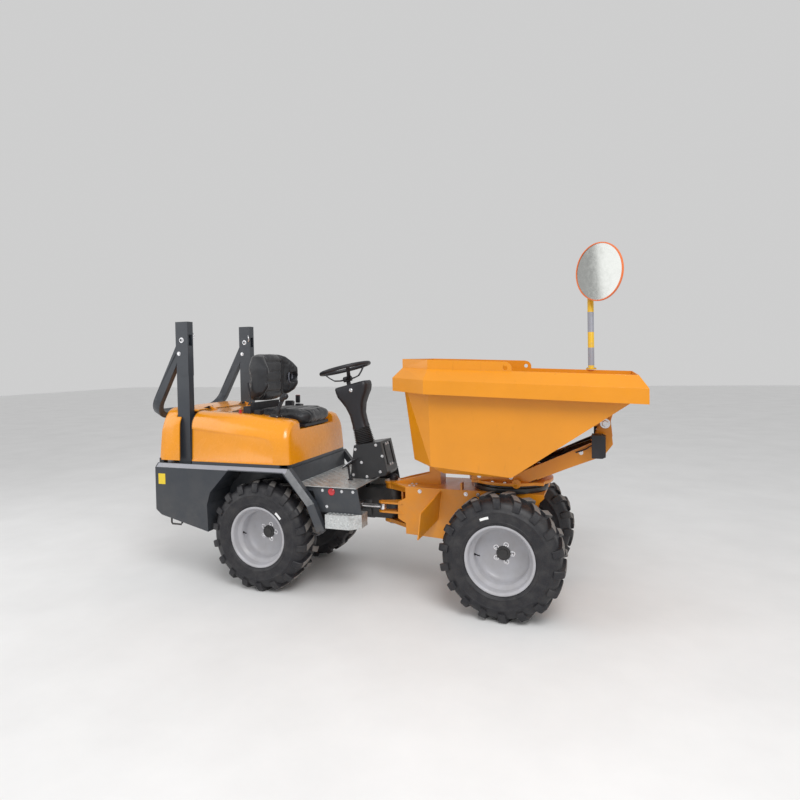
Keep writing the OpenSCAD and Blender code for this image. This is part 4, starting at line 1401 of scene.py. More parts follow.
# ------------------------------------------------------------------ hood and rear cover
@dataclass
class Hood:
    """The tilting hood and the fixed rear cover, moulded shells with generous edges.

    Sections across the machine are lofted from the seam to the front and to the tail.
    """

    low: float = 871
    seam: float = -1364
    cover_seam: float = -1372
    wall: float = 8
    round: float = 46
    seat_half: float = 270
    seat_back: float = -1135
    seat_low: float = 1100
    corners_n: int = 5

    def section(self, x: float, foot: float, shoulder: tuple[float, float], roof: tuple[float, float],
                t: float = 0, lean: float = 0, round_by: float | None = None) -> list[Vector]:
        """Gives a section of the shell, t inside its outer faces.

        Args:
            x: Where the section lies at its foot.
            foot: Half width at the foot.
            shoulder: Half width and height of the shoulder.
            roof: Half width and height of the roof's edge.
            t: How far inside.
            lean: How far the top lies behind the foot.
            round_by: Radius of the shoulder's and roof's edges.

        Returns:
            The points of the section.
        """
        half = [(foot - t, self.low - (20 if t else 0)), (shoulder[0] - t, shoulder[1] - t * 0.4),
                (roof[0] - t * 0.5, roof[1] - t)]
        outline = half + [(-y, z) for y, z in reversed(half)]
        radius = self.round if round_by is None else round_by
        smooth = rounded(outline, radius, self.corners_n, closed=False)
        height = roof[1] - self.low
        return [spot(x - lean * (z - self.low) / height, y, z) for y, z in smooth]

    def hood_skin(self, t: float) -> Shape:
        """Lofts the hood's skin.

        Args:
            t: The skin's thickness.

        Returns:
            The shape.
        """
        rings = [self.section(self.seam - (1 if t else 0), 475, (463, 1160), (387, 1225), t),
                 self.section(-916, 475, (462, 1111), (387, 1199), t),
                 self.section(-672, 475, (461, 1074), (388, 1168), t, lean=4)]
        for step, (x, foot, top, roof, z) in enumerate(((-628, 470, 458, 386, 1163),
                                                        (-602, 460, 448, 380, 1153),
                                                        (-586, 446, 434, 368, 1136), (-579, 424, 412, 346,
                                                            1106))):
            rings.append(self.section(x - t, foot, (top, 1068 - step * 6), (roof, z), t, lean=8 + step * 3))
        return Shape.loft("hood_shape", rings)

    def panel(self, side: int) -> Shape:
        """Models the tool that sinks the side panel below its crease line.

        Args:
            side: -1 for the right, 1 for the left.

        Returns:
            The shape.
        """
        outline = [(-1390, 882), (-1390, 1102), (-1000, 1070), (-742, 1044), (-706, 990), (-698, 882)]
        outline = outline[:2] + rounded(outline[2:5] + [outline[5]], 70, 5, closed=False)
        inner = [spot(x, side * (475 - 12 * (z - 871) / 289 - 5), z) for x, z in outline]
        outer = [spot(x + (0 if x < -1300 else 5), side * 500, z + (0 if z < 900 else 5)) for x, z in outline]
        return Shape.loft("panel", [inner, outer])

    def hood(self) -> None:
        """Models the hood with the seat's well."""
        shell = self.hood_skin(0)
        inside = self.hood_skin(self.wall)
        w = self.seat_half + self.wall
        inside.cut(Shape.box("well", spot(self.seat_back - self.wall, -w, self.seat_low - self.wall - 8),
                             spot(0, w, 2000)))
        shell.cut(inside)
        well = Shape.box("well", spot(self.seat_back, -self.seat_half, self.seat_low - 8),
                         spot(0, self.seat_half, 2000))
        well.bevel(0.03, 4, lambda pair: abs(pair[0].co.z - pair[1].co.z) > 0.5)
        shell.cut(well, self.panel(1), self.panel(-1))
        shell.modify("BEVEL", width=0.003, segments=2, limit_method="ANGLE", angle_limit=0.55)
        knuckles = [Shape.drum("knuckle", spot(-1368, y - 10, 1240), spot(-1368, y + 10, 1240), 0.008,
                               20) for y in (-230, 230)]
        leaves = []
        for y in (-230, 230):
            outline = [mm(-1368, 1232), mm(-1368, 1248), mm(-1312, 1225), mm(-1312, 1214)]
            leaves.append(Shape.loft("leaf",
                                     [[(PIN_X + x, (y + s * 10) * MM, z) for x, z in outline] for s in (-1,
                                         1)]))
        shell.join(knuckles + leaves)
        shell.smooth(26).dress(MOULDED).ride(Body.HOOD, "hood_paint", ["hood"])
        self.hood_trim()

    def hood_trim(self) -> None:
        """Adds the seal along the seam, the small red knob and the lip round the seat's well."""
        seal = Shape.loft("hood_seal", [self.section(x, 476.5, (464.5, 1160), (388, 1226.5)) for x in (-1364,
            -1359)])
        seal.cut(Shape.loft("bite", [self.section(x, 470, (458, 1156), (384, 1221)) for x in (-1380, -1340)]))
        seal.smooth().dress(PLASTIC).ride(Body.HOOD, "black_plastic")
        knob = Shape.turned("hood_knob",
                            [mm(*p) for p in ((0, 0), (13, 0), (13, 6), (9, 9), (9, 15), (12, 19), (8, 24),
                                              (0, 25))], 20)
        knob.put(facing(spot(-1040, -330, 1206.5), (0, 0, 1))).smooth().dress(RED).ride(Body.HOOD,
            "black_plastic")
        lip = Shape.box("well_lip", spot(self.seat_back - 9, -self.seat_half - 9, 1085),
                        spot(-660, self.seat_half + 9, 1240))
        lip.cut(Shape.box("bite", spot(self.seat_back, -self.seat_half, 1000), spot(0, self.seat_half, 1300)))
        lip.cut(self.above_roof(3.0))
        lip.cut(self.below_roof(-3.0))
        lip.modify("BEVEL", width=0.0015, segments=2, limit_method="ANGLE", angle_limit=0.6)
        lip.smooth().dress(PLASTIC).ride(Body.HOOD, "black_plastic")

    def above_roof(self, gap: float) -> Shape:
        """Gives the space above the roof, gap over it.

        Args:
            gap: The gap.

        Returns:
            The shape.
        """
        line = [(-1500, 1237 + gap), (-1364, 1225 + gap), (-916, 1199 + gap), (-500, 1146 + gap)]
        outline = line + [(-500, 1500), (-1500, 1500)]
        return Shape.loft("above", [[spot(x, y, z) for x, z in outline] for y in (-600, 600)])

    def below_roof(self, gap: float) -> Shape:
        """Gives the space below the roof, gap over it.

        Args:
            gap: The gap.

        Returns:
            The shape.
        """
        line = [(-1500, 1237 + gap), (-1364, 1225 + gap), (-916, 1199 + gap), (-500, 1146 + gap)]
        outline = line + [(-500, 600), (-1500, 600)]
        return Shape.loft("below", [[spot(x, y, z) for x, z in outline] for y in (-600, 600)])

    def cover_skin(self, t: float) -> Shape:
        """Lofts the rear cover's skin.

        Args:
            t: The skin's thickness.

        Returns:
            The shape.
        """
        rings = [self.section(self.cover_seam + (1 if t else 0), 475, (467, 1161), (387, 1231), t),
                 self.section(-1590, 475, (462, 1150), (392, 1246), t)]
        for x, foot, top, z, lean in ((-1622, 474, 457, 1236, -10), (-1644, 468, 450, 1206, -16),
                                      (-1654, 456, 438, 1168, -16), (-1659.5, 438, 420, 1120, -8)):
            rings.append(self.section(x + t, foot, (top, z - 96), (top - 66, z), t, lean=lean))
        return Shape.loft("rear_cover_shape", rings)

    def cover(self) -> None:
        """Models the rear cover with the notches for the posts and the louvres."""
        shell = self.cover_skin(0)
        shell.cut(self.cover_skin(self.wall))
        for side in (-1, 1):
            y0, y1 = sorted((side * 372, side * 438))
            shell.cut(Shape.box("post_way", spot(-1510.5, y0, 600), spot(-1300, y1, 2000)))
            y0, y1 = sorted((side * 405, side * 500))
            shell.cut(Shape.box("post_way", spot(-1468, y0, 600), spot(-1300, y1, 2000)))
        for i in range(7):
            z = 930 + i * 26
            shell.cut(Shape.box("louvre", spot(-1700, -230, z), spot(-1640, 230, z + 11)))
        shell.modify("BEVEL", width=0.003, segments=2, limit_method="ANGLE", angle_limit=0.55)
        shell.smooth(26).dress(MOULDED).ride(Body.REAR, "hood_paint", ["rear_cover"])
        self.cover_trim()

    def cover_trim(self) -> None:
        """Adds the hinges' fixed knuckles, the cover's feet and the filler cap."""
        parts = []
        for y in (-230, 230):
            for inner in (y - 24.3, y + 10.3):
                parts.append(Shape.drum("knuckle", spot(-1368, inner, 1240), spot(-1368, inner + 14, 1240),
                                        0.008, 20))
                outline = ((-1414, 1228), (-1414, 1234), (-1368, 1248), (-1368, 1234), (-1373, 1228))
                parts.append(Shape.loft("leaf",
                                        [[spot(x, inner + d, z) for x, z in outline] for d in (0, 14)]))
            parts.append(Shape.drum("pin", spot(-1368, y - 20, 1240), spot(-1368, y + 20, 1240), 0.005, 16))
        parts[0].join(parts[1:])
        parts[0].obj.name = "hood_hinges"
        parts[0].smooth().dress(BLACK).ride(Body.REAR, "black_paint")
        feet = [Shape.box("foot", spot(-1648, y0, 850.5), spot(-1612, y0 + 46, 883)) for y0 in (-471, 425)]
        feet[0].join(feet[1:])
        feet[0].obj.name = "cover_feet"
        feet[0].dress(BLACK).ride(Body.REAR, "black_paint")
        cap = Shape.turned("filler_cap",
                           [mm(*p) for p in ((0, 0), (30, 0), (30, 6), (24, 8), (24, 24), (19, 30), (0, 31))],
                           28)
        cap.put(facing(spot(-1560, -300, 1241), (0, 0, 1)))
        cap.smooth(30).dress(PLASTIC).ride(Body.REAR, "black_plastic")

    def build(self) -> None:
        """Models both shells."""
        self.hood()
        self.cover()


# ------------------------------------------------------------------ seat
@dataclass
class Seat:
    """The driver's seat: stuffed vinyl pads with channels, bolsters and wing openings."""

    cushion_x: tuple[float, float] = (-1014, -556)
    cushion_z: tuple[float, float] = (1130, 1214)
    half: float = 233
    back_low: float = 1276
    back_high: float = 1634
    voxel: float = 0.007
    frames: int = 16
    wing_y: float = 198
    wing_z: float = 1446

    def puff(self, shape: Shape, pressure: float, cap: float) -> Shape:
        """Stuffs a closed shape by blowing it up as cloth.

        Args:
            shape: The closed shape, slightly smaller than the pad.
            pressure: The cloth's inner pressure.
            cap: The furthest that a point may move in metres.

        Returns:
            The stuffed shape.
        """
        shape.modify("REMESH", mode="VOXEL", voxel_size=self.voxel)
        before = [v.co.copy() for v in shape.obj.data.vertices]
        scene = bpy.context.scene
        cloth = shape.obj.modifiers.new("Cloth", "CLOTH")
        settings = cloth.settings
        settings.quality, settings.mass = 4, 0.3
        settings.use_pressure, settings.uniform_pressure_force = True, pressure
        settings.effector_weights.gravity = 0
        settings.tension_stiffness = settings.compression_stiffness = 12
        settings.bending_stiffness = 1.5
        cloth.point_cache.frame_start, cloth.point_cache.frame_end = 1, self.frames
        for number in range(1, self.frames + 1):
            scene.frame_set(number)
        shape.hold()
        bpy.ops.object.modifier_apply(modifier=cloth.name)
        scene.frame_set(1)
        for vert, start in zip(shape.obj.data.vertices, before):
            step = vert.co - start
            if step.length > cap:
                vert.co = start + step.normalized() * cap
        return shape

    def groove(self, shape: Shape, away: Callable[[Vector], float], depth: float, width: float,
               push: Vector) -> None:
        """Sinks a soft groove along a line.

        Args:
            shape: The pad.
            away: Distance in millimetres of a point in the CAD's millimetres from the line.
            depth: Depth in millimetres.
            width: Half width in millimetres.
            push: Direction in which the groove sinks.
        """
        for vert in shape.obj.data.vertices:
            here = Vector(((vert.co.x - PIN_X) / MM, vert.co.y / MM, vert.co.z / MM))
            share = math.exp(-(away(here) / width) ** 2)
            if share > 0.01 and vert.normal.dot(push) < -0.25:
                vert.co += push * depth * MM * share

    def cushion(self) -> None:
        """Models the cushion."""
        x0, x1 = self.cushion_x
        low, high = self.cushion_z
        w = self.half
        base = [(x0, -w + 24), (x0, w - 24), (x1 - 70, w - 4), (x1 - 10, w - 70), (x1, w - 120),
                (x1, -w + 120), (x1 - 10, -w + 70), (x1 - 70, -w + 4)]
        rings = []
        for grow, z in ((-26, low), (-6, low + 16), (0, low + 40), (-3, high - 22), (-14, high - 6),
                        (-34, high)):
            cx, scale_x, scale_y = (x0 + x1) / 2, 1 + 2 * grow / (x1 - x0), 1 + grow / w
            ring = [(cx + (x - cx) * scale_x, y * scale_y) for x, y in rounded(base, 50, 3)]
            rings.append([spot(x, y, z - (6 if x > x1 - 80 and z > low + 60 else 0)) for x, y in ring])
        pad = self.puff(Shape.loft("seat_cushion_pad", rings), 3.5, 0.012)
        down = Vector((0, 0, -1))
        for x in (-905, -820, -735):
            self.groove(pad, lambda p, x=x: max(abs(p.x - x), (abs(p.y) - 128) * 2), 9, 9, down)
        for y in (-132, 132):
            self.groove(pad, lambda p, y=y: abs(p.y - y), 8, 8, down)
        self.groove(pad, lambda p: abs(p.x + 650), 7, 8, down)
        self.finish_pad(pad, "seat_cushion")

    def finish_pad(self, pad: Shape, node: str) -> None:
        """Smooths and dresses a pad, and puts it on the hood in place of its CAD node.

        Args:
            pad: The pad.
            node: The CAD node's name.
        """
        pad.modify("SUBSURF", levels=1)
        pad.smooth(60).dress(VINYL)
        pad.ride(Body.HOOD, "black_vinyl", [node])

    def back_ring(self, z: float) -> list[Vector]:
        """Gives the backrest's section at a height.

        Args:
            z: The height.

        Returns:
            The points.
        """
        t = (z - self.back_low) / (self.back_high - self.back_low)
        top = max(0.0, (t - 0.66) / 0.34)
        w = 236 - 66 * top ** 1.6 - 30 * max(0.0, 0.16 - t) / 0.16
        wing = 138 * math.sin(min(1.0, t / 0.34) * math.pi / 2) * (1 - 0.72 * top ** 1.2) + 8
        x = -1050 + 10 * t
        flat_y = w - 88 + 16 * top
        half = [(x, 0), (x - 6, w * 0.5), (x, w - 26), (x + 22, w - 5), (x + 0.55 * wing + 20, w),
                (x + wing + 24, w - 2), (x + wing + 34, w - 20), (x + wing + 26, w - 40),
                (x + 0.6 * wing + 40, w - 52), (x + 78, flat_y), (x + 82, flat_y * 0.55), (x + 84, 0)]
        points = half + [(px, -y) for px, y in reversed(half[1:-1])]
        return [spot(px, y, z) for px, y in points]

    def back(self) -> None:
        """Models the backrest with its wings."""
        levels = [0, 0.035, 0.1, 0.2, 0.32, 0.44, 0.56, 0.68, 0.78, 0.87, 0.94, 0.98, 1.0]
        heights = [self.back_low + t * (self.back_high - self.back_low) for t in levels]
        rings = [self.back_ring(z) for z in heights]
        for k, shrink in ((0, 0.80), (1, 0.93), (-2, 0.86), (-1, 0.66)):
            middle = sum(rings[k], Vector()) / len(rings[k])
            rings[k] = [middle + (p - middle) * Vector((shrink, shrink, 1)) for p in rings[k]]
        pad = Shape.loft("seat_back_pad", rings)
        for side in (-1, 1):
            hole = Shape.drum("hole", Vector(mm(-1200, 0, 0)), Vector(mm(-700, 0, 0)), 0.026, 28)
            hole.put(Matrix.Translation(spot(0, side * self.wing_y, self.wing_z)) @ Matrix.Diagonal((1, 1,
                1.5, 1)))
            pad.cut(hole)
        pad = self.puff(pad, 3.0, 0.009)
        back = Vector((-1, 0, 0))
        for z in (1345, 1420, 1495):
            self.groove(pad, lambda p, z=z: max(abs(p.z - z), (abs(p.y) - 112) * 2), 9, 8, back)
        for y in (-116, 116):
            self.groove(pad, lambda p, y=y: max(abs(p.y - y), (p.z - 1570) * 2), 8, 8, back)
        self.groove(pad, lambda p: max(abs(p.z - 1568), (abs(p.y) - 116) * 2), 8, 8, back)
        self.finish_pad(pad, "seat_back")
        for side in (-1, 1):
            ring = []
            for k in range(33):
                a = TAU * k / 32
                ring.append(spot(-921, side * self.wing_y + 29 * math.cos(a), self.wing_z + 43 * math.sin(a)))
            # The piping is the black vinyl lightened to grey, a painted highlight on the openings' rolled edges.
            piping = tube(f"wing_piping_{'right' if side < 0 else 'left'}", ring, 0.006)
            piping.smooth(60).dress(EDGE_VINYL_HIGHLIGHT).ride(Body.HOOD, "black_vinyl")

    def fittings(self) -> None:
        """Models the belt's buckle and strap, and the lids of the belt boxes."""
        buckle = Shape.box("belt_buckle", spot(-930, 286, 1236), spot(-896, 310, 1300))
        buckle.bevel(0.005, 2).smooth().dress(PLASTIC).paint(RED, lambda f: f.center.z > 1.298)
        buckle.ride(Body.HOOD, "black_plastic")
        strap = tube("belt_strap", curve([(-990, -300, 1262), (-985, -285, 1290), (-1000, -262, 1330),
                                          (-1018, -258, 1420)], 5),
                     0.006, 8)
        strap.smooth().dress(PLASTIC).ride(Body.HOOD, "black_plastic")
        for side in (-1, 1):
            lid = Shape.box(f"belt_box_lid_{'right' if side < 0 else 'left'}",
                            spot(-1016, side * 300 - 22, 1247), spot(-964, side * 300 + 22, 1253))
            lid.bevel(0.002, 2).smooth().dress(PLASTIC).ride(Body.HOOD, "black_plastic")

    def lever(self) -> None:
        """Models the lever's boot, stick and handle."""
        boot = [(0, 2), (38, 2), (36, 12), (30, 16), (32, 20), (26, 25), (28, 29), (21, 35), (23, 39),
                (16, 46), (10, 54), (0, 54)]
        lean = Matrix.Rotation(math.radians(20), 4, "Y")
        foot = Matrix.Translation(spot(-770, -300, 1188))
        shape = Shape.turned("lever_boot", [mm(*p) for p in boot],
                             28).put(foot @ Matrix.Rotation(math.radians(10), 4, "Y"))
        shape.smooth(50).dress(BELLOWS).ride(Body.HOOD, "bellows_rubber")
        line = [foot @ lean @ Vector(mm(x, y, z)) for x, y,
                z in ((0, 0, 40), (4, 0, 90), (10, 0, 128), (20, 0, 150))]
        stick = tube("lever_stick", line, 0.0075)
        stick.smooth(50).dress(PLASTIC).ride(Body.HOOD, "black_plastic")
        sizes = ((8, 112), (15, 118), (18, 130), (20, 146), (19, 160), (15, 170), (8, 176), (2, 178))
        rings = [[foot @ lean @ Vector(mm(8 + (z - 112) * 0.22 + 1.15 * r * math.cos(TAU * k / 16),
                                          0.85 * r * math.sin(TAU * k / 16), z)) for k in range(16)] for r,
                                          z in sizes]
        Shape.loft("lever_handle", rings).smooth(60).dress(PLASTIC).ride(Body.HOOD, "black_plastic")
        bolts = Fasteners(5)
        bolts.fit("lever_bolts", Body.HOOD,
                  [facing(spot(-770 + dx, -300 + dy, 1184 - dx * 0.06), (0.06, 0, 1))
                                             for dx in (-30, 30) for dy in (-30, 30)])
        bolts.remove()

    def build(self) -> None:
        """Models the seat and what stands beside it."""
        self.cushion()
        self.back()
        self.fittings()
        self.lever()


# ------------------------------------------------------------------ steering column
@dataclass
class SteeringColumn:
    """The moulded cowl, the ribbed bellows, the steering wheel and the tower's fittings."""

    foot: Point = (-208, 0, 950)
    tilt: float = 14
    wheel_middle: Point = (-360, 0, 1509)
    wheel_tilt: float = 13.5
    rim_r: float = 178
    tube_r: float = 13.5
    ribs: int = 9

    def column(self) -> Matrix:
        """Gives the column's place, Z up along it."""
        return Matrix.Translation(spot(*self.foot)) @ Matrix.Rotation(math.radians(-self.tilt), 4, "Y")

    def cowl(self) -> None:
        """Models the cowl, narrow at the bellows and wide under the wheel."""
        slices = ((136, 0, 110, 110, 30), (160, 0, 104, 108, 34), (238, 0, 106, 110, 34),
                  (300, 3, 138, 124, 36),
                  (345, 7, 186, 136, 40), (385, 12, 236, 146, 42), (420, 16, 252, 149, 40),
                  (446, 16, 250, 146, 34),
                  (455, 16, 238, 134, 30), (457, 16, 214, 110, 26))
        rings = []
        for up, ahead, deep, wide, radius in slices:
            flat = rounded([(-deep / 2, -wide / 2), (deep / 2, -wide / 2), (deep / 2, wide / 2),
                            (-deep / 2, wide / 2)], radius, 5)
            rings.append([self.column() @ Vector(mm(ahead + x, y, up)) for x, y in flat])
        cowl = Shape.loft("column_cowl_shape", rings)
        shaft = self.hand_place()
        cowl.cut(Shape.drum("bore", shaft @ Vector(mm(0, 0, -230)), shaft @ Vector(mm(0, 0, 40)), 0.0175, 32))
        cowl.smooth(50).dress(PLASTIC).ride(Body.REAR, "black_plastic", ["column_cowl"])
        switch = Shape.turned("key_switch",
                              [mm(*p) for p in ((0, 0), (13, 0), (13, 5), (9, 7), (9, 4.5), (0, 4.5))], 24)
        side = self.column() @ Matrix.Translation(Vector(mm(22, -73, 412))) @ Matrix.Rotation(math.pi / 2, 4,
            "X")
        switch.put(side).smooth(30).dress(ZINC).ride(Body.REAR, "steel")
        bezel = [(-30, -24), (30, -24), (30, 24), (-30, 24)]
        flat = rounded(bezel, 8, 3)
        screen = Shape.loft("cowl_display",
                            [[self.column() @ Vector(mm(62 + x * 0.8, y, 456.5 + d)) for x,
                              y in flat] for d in (0, 3)])
        screen.smooth(30).dress(PLASTIC).ride(Body.REAR, "black_plastic")

    def bellows(self) -> None:
        """Models the bellows with its folds."""
        section = [(52, -16), (60, 20)]
        for i in range(self.ribs):
            z = 26 + i * (110 / self.ribs)
            outer = 71 - i * 0.9
            section += [(outer - 8, z), (outer - 1.2, z + 3.2), (outer, z + 5.2), (outer - 1.2, z + 7.2),
                        (outer - 8, z + 10.4)]
        section += [(52, 137), (40, 137), (40, -16)]
        shape = Shape.turned("column_bellows_shape", [mm(*p) for p in section], 56).put(self.column())
        shape.smooth(60).dress(BELLOWS).ride(Body.REAR, "bellows_rubber", ["column_bellows"])

    def hand_place(self) -> Matrix:
        """Gives the steering wheel's place, Z along its shaft."""
        return Matrix.Translation(spot(*self.wheel_middle)) @ Matrix.Rotation(math.radians(-self.wheel_tilt),
            4, "Y")

    def hand_wheel(self) -> None:
        """Models the steering wheel with its padded rim, three spokes and hub."""
        r = self.tube_r
        circle = [mm(self.rim_r + r * math.cos(TAU * k / 20), r * math.sin(TAU * k / 20)) for k in range(20)]
        rim = Shape.turned("steering_wheel_shape", circle, 80)
        hub = Shape.turned("hub", [mm(*p) for p in ((0, -96), (32, -96), (34, -90), (34, -66), (30, -60),
                                                    (14, -58), (0, -57))], 36)
        shaft = Shape.drum("shaft", Vector(mm(0, 0, -188)), Vector(mm(0, 0, -92)), 0.0155, 24)
        spokes = []
        for degrees in (60, 180, 300):
            turn = Matrix.Rotation(math.radians(degrees), 4, "Z")
            stations = ((24, -80, 22, 7), (60, -78, 17, 6), (105, -68, 14, 6), (140, -38, 13, 6),
                        (168, -6, 14, 7), (176, 0, 15, 7))
            rings = [[turn @ Vector(mm(x + (0.35 * h * math.sin(a)), w * math.cos(a), z + h * math.sin(a)))
                      for a in (TAU * k / 12 for k in range(12))] for x, z, w, h in stations]
            spokes.append(Shape.loft("spoke", rings))
        rim.join([hub, shaft] + spokes).put(self.hand_place())
        rim.smooth(50).dress(PLASTIC).ride(Body.HAND_WHEEL, "black_plastic", ["steering_wheel"])

    def tower(self) -> None:
        """Adds the bolts and the edge strip of the steering tower."""
        nose, top = Vector((-8, 790)), Vector((-56, 1000))
        out = (0.975, 0, 0.223)
        places = []
        for share in (0.2, 0.88):
            for y in (-20, 20):
                point = nose.lerp(top, share)
                places.append(facing(spot(point.x + 0.5, y, point.y), out))
        for x, z in ((-262, 760), (-160, 752), (-60, 790), (-245, 940), (-90, 975), (-44, 900), (-200, 850)):
            places.append(facing(spot(x, -112, z), (0, -1, 0)))
            places.append(facing(spot(x, 112, z), (0, 1, 0)))
        bolts = Fasteners(7)
        bolts.fit("tower_bolts", Body.REAR, places)
        bolts.remove()
        strip = Shape.loft("tower_strip",
                           [[spot(x + u, y, z + w) for u, w in ((0, 0), (0, 4), (8, 5), (8, 1))]
                                           for x, y, z in ((-250, -105, 969), (-250, 105, 969))])
        strip.smooth().dress(ZINC).ride(Body.REAR, "steel")

    def build(self) -> None:
        """Models the whole column."""
        self.cowl()
        self.bellows()
        self.hand_wheel()
        self.tower()


# ------------------------------------------------------------------ driver's floor
@dataclass
class DriverFloor:
    """The tread plate's lozenges, the steps' grip, the pedals' plates and the reflectors."""

    floor_z: float = 735
    floor_x: tuple[float, float] = (-560, -120)
    floor_half: float = 418
    pitch: float = 34
    step_z: float = 560

    def lozenge(self) -> Shape:
        """Models one raised lozenge of the tread plate.

        Returns:
            The shape.
        """
        outline = [(-13, 0), (-6, -3.4), (6, -3.4), (13, 0), (6, 3.4), (-6, 3.4)]
        top = [(x * 0.6, y * 0.5) for x, y in outline]
        return Shape.loft("lozenge", [[mm(x, y, 0) for x, y in outline], [mm(x, y, 1.6) for x, y in top]])

    def chequer(self) -> None:
        """Spreads the lozenges over the floor, clear of the tower."""
        model = self.lozenge()
        copies = []
        rows = int((self.floor_x[1] - self.floor_x[0]) / self.pitch)
        columns = int(2 * self.floor_half / self.pitch)
        for i in range(rows + 1):
            for j in range(columns + 1):
                x, y = self.floor_x[0] + i * self.pitch, -self.floor_half + 8 + j * self.pitch
                if abs(y) < 124 and x > -300:
                    continue
                turn = Matrix.Rotation(math.pi / 4 if (i + j) % 2 else -math.pi / 4, 4, "Z")
                copies.append(model.copy("lozenge", Matrix.Translation(spot(x, y, self.floor_z)) @ turn))
        bpy.data.objects.remove(model.obj, do_unlink=True)
        copies[0].join(copies[1:])
        copies[0].obj.name = "floor_lozenges"
        copies[0].dress(TREAD).ride(Body.REAR, "floor_plate")

    def steps(self) -> None:
        """Adds the raised buttons on the steps' treads and outer edges."""
        button = Shape.turned("button", [mm(*p) for p in ((0, 0), (8, 0), (6, 2.4), (4, 2.6), (0, 2.2))], 12)
        copies = []
        for side in (-1, 1):
            for i in range(7):
                for j in range(5):
                    x, y = -306 + i * 27, 318 + j * 32
                    if x > -170 and y > 440:
                        continue
                    copies.append(button.copy("button", Matrix.Translation(spot(x, side * y, self.step_z))))
            for i in range(7):
                place = facing(spot(-300 + i * 24, side * 465, 500 + 30 * (i % 2)), (0, side, 0))
                copies.append(button.copy("button", place))
        bpy.data.objects.remove(button.obj, do_unlink=True)
        copies[0].join(copies[1:])
        copies[0].obj.name = "step_buttons"
        copies[0].smooth(40).dress(TREAD).ride(Body.REAR, "floor_plate")

    def pedal_plates(self) -> None:
        """Adds the ribbed plates of the two pedals."""
        for side, name in ((-1, "drive_pedal_plate"), (1, "brake_pedal_plate")):
            place = Matrix.Translation(spot(-300, side * 172,
                                            self.floor_z + 84)) @ Matrix.Rotation(math.radians(-35), 4, "Y")
            plate = Shape.box(name, mm(4, -36, 8), mm(86, 36, 11))
            ribs = [Shape.box("rib", mm(x, -34, 10), mm(x + 5, 34, 13)) for x in range(10, 80, 12)]
            plate.join(ribs).put(place).smooth().dress(ZINC).ride(Body.REAR, "steel")

    def reflectors(self) -> None:
        """Adds the round reflectors at the sides and the bolts of the side panels."""
        for side in (-1, 1):
            name = f"side_reflector_{'right' if side < 0 else 'left'}"
            lens = Shape.turned(name, [mm(*p) for p in ((0, 0), (24, 0), (24, 4), (20, 7), (0, 8))], 28)
            lens.put(facing(spot(-294, side * 413, 700), (0, side, 0)))
            lens.smooth(30).dress(RED).ride(Body.REAR, "black_plastic")
        bolts = Fasteners(7)
        bolts.fit("side_panel_bolts", Body.REAR,
                  [facing(spot(x, side * 413, z), (0, side, 0)) for side in (-1, 1)
                                                  for x, z in ((-220, 706), (-140, 706), (-360, 706),
                                                               (-330, 600))])
        bolts.remove()

    def build(self) -> None:
        """Models the floor's pieces."""
        self.chequer()
        self.steps()
        self.pedal_plates()
        self.reflectors()


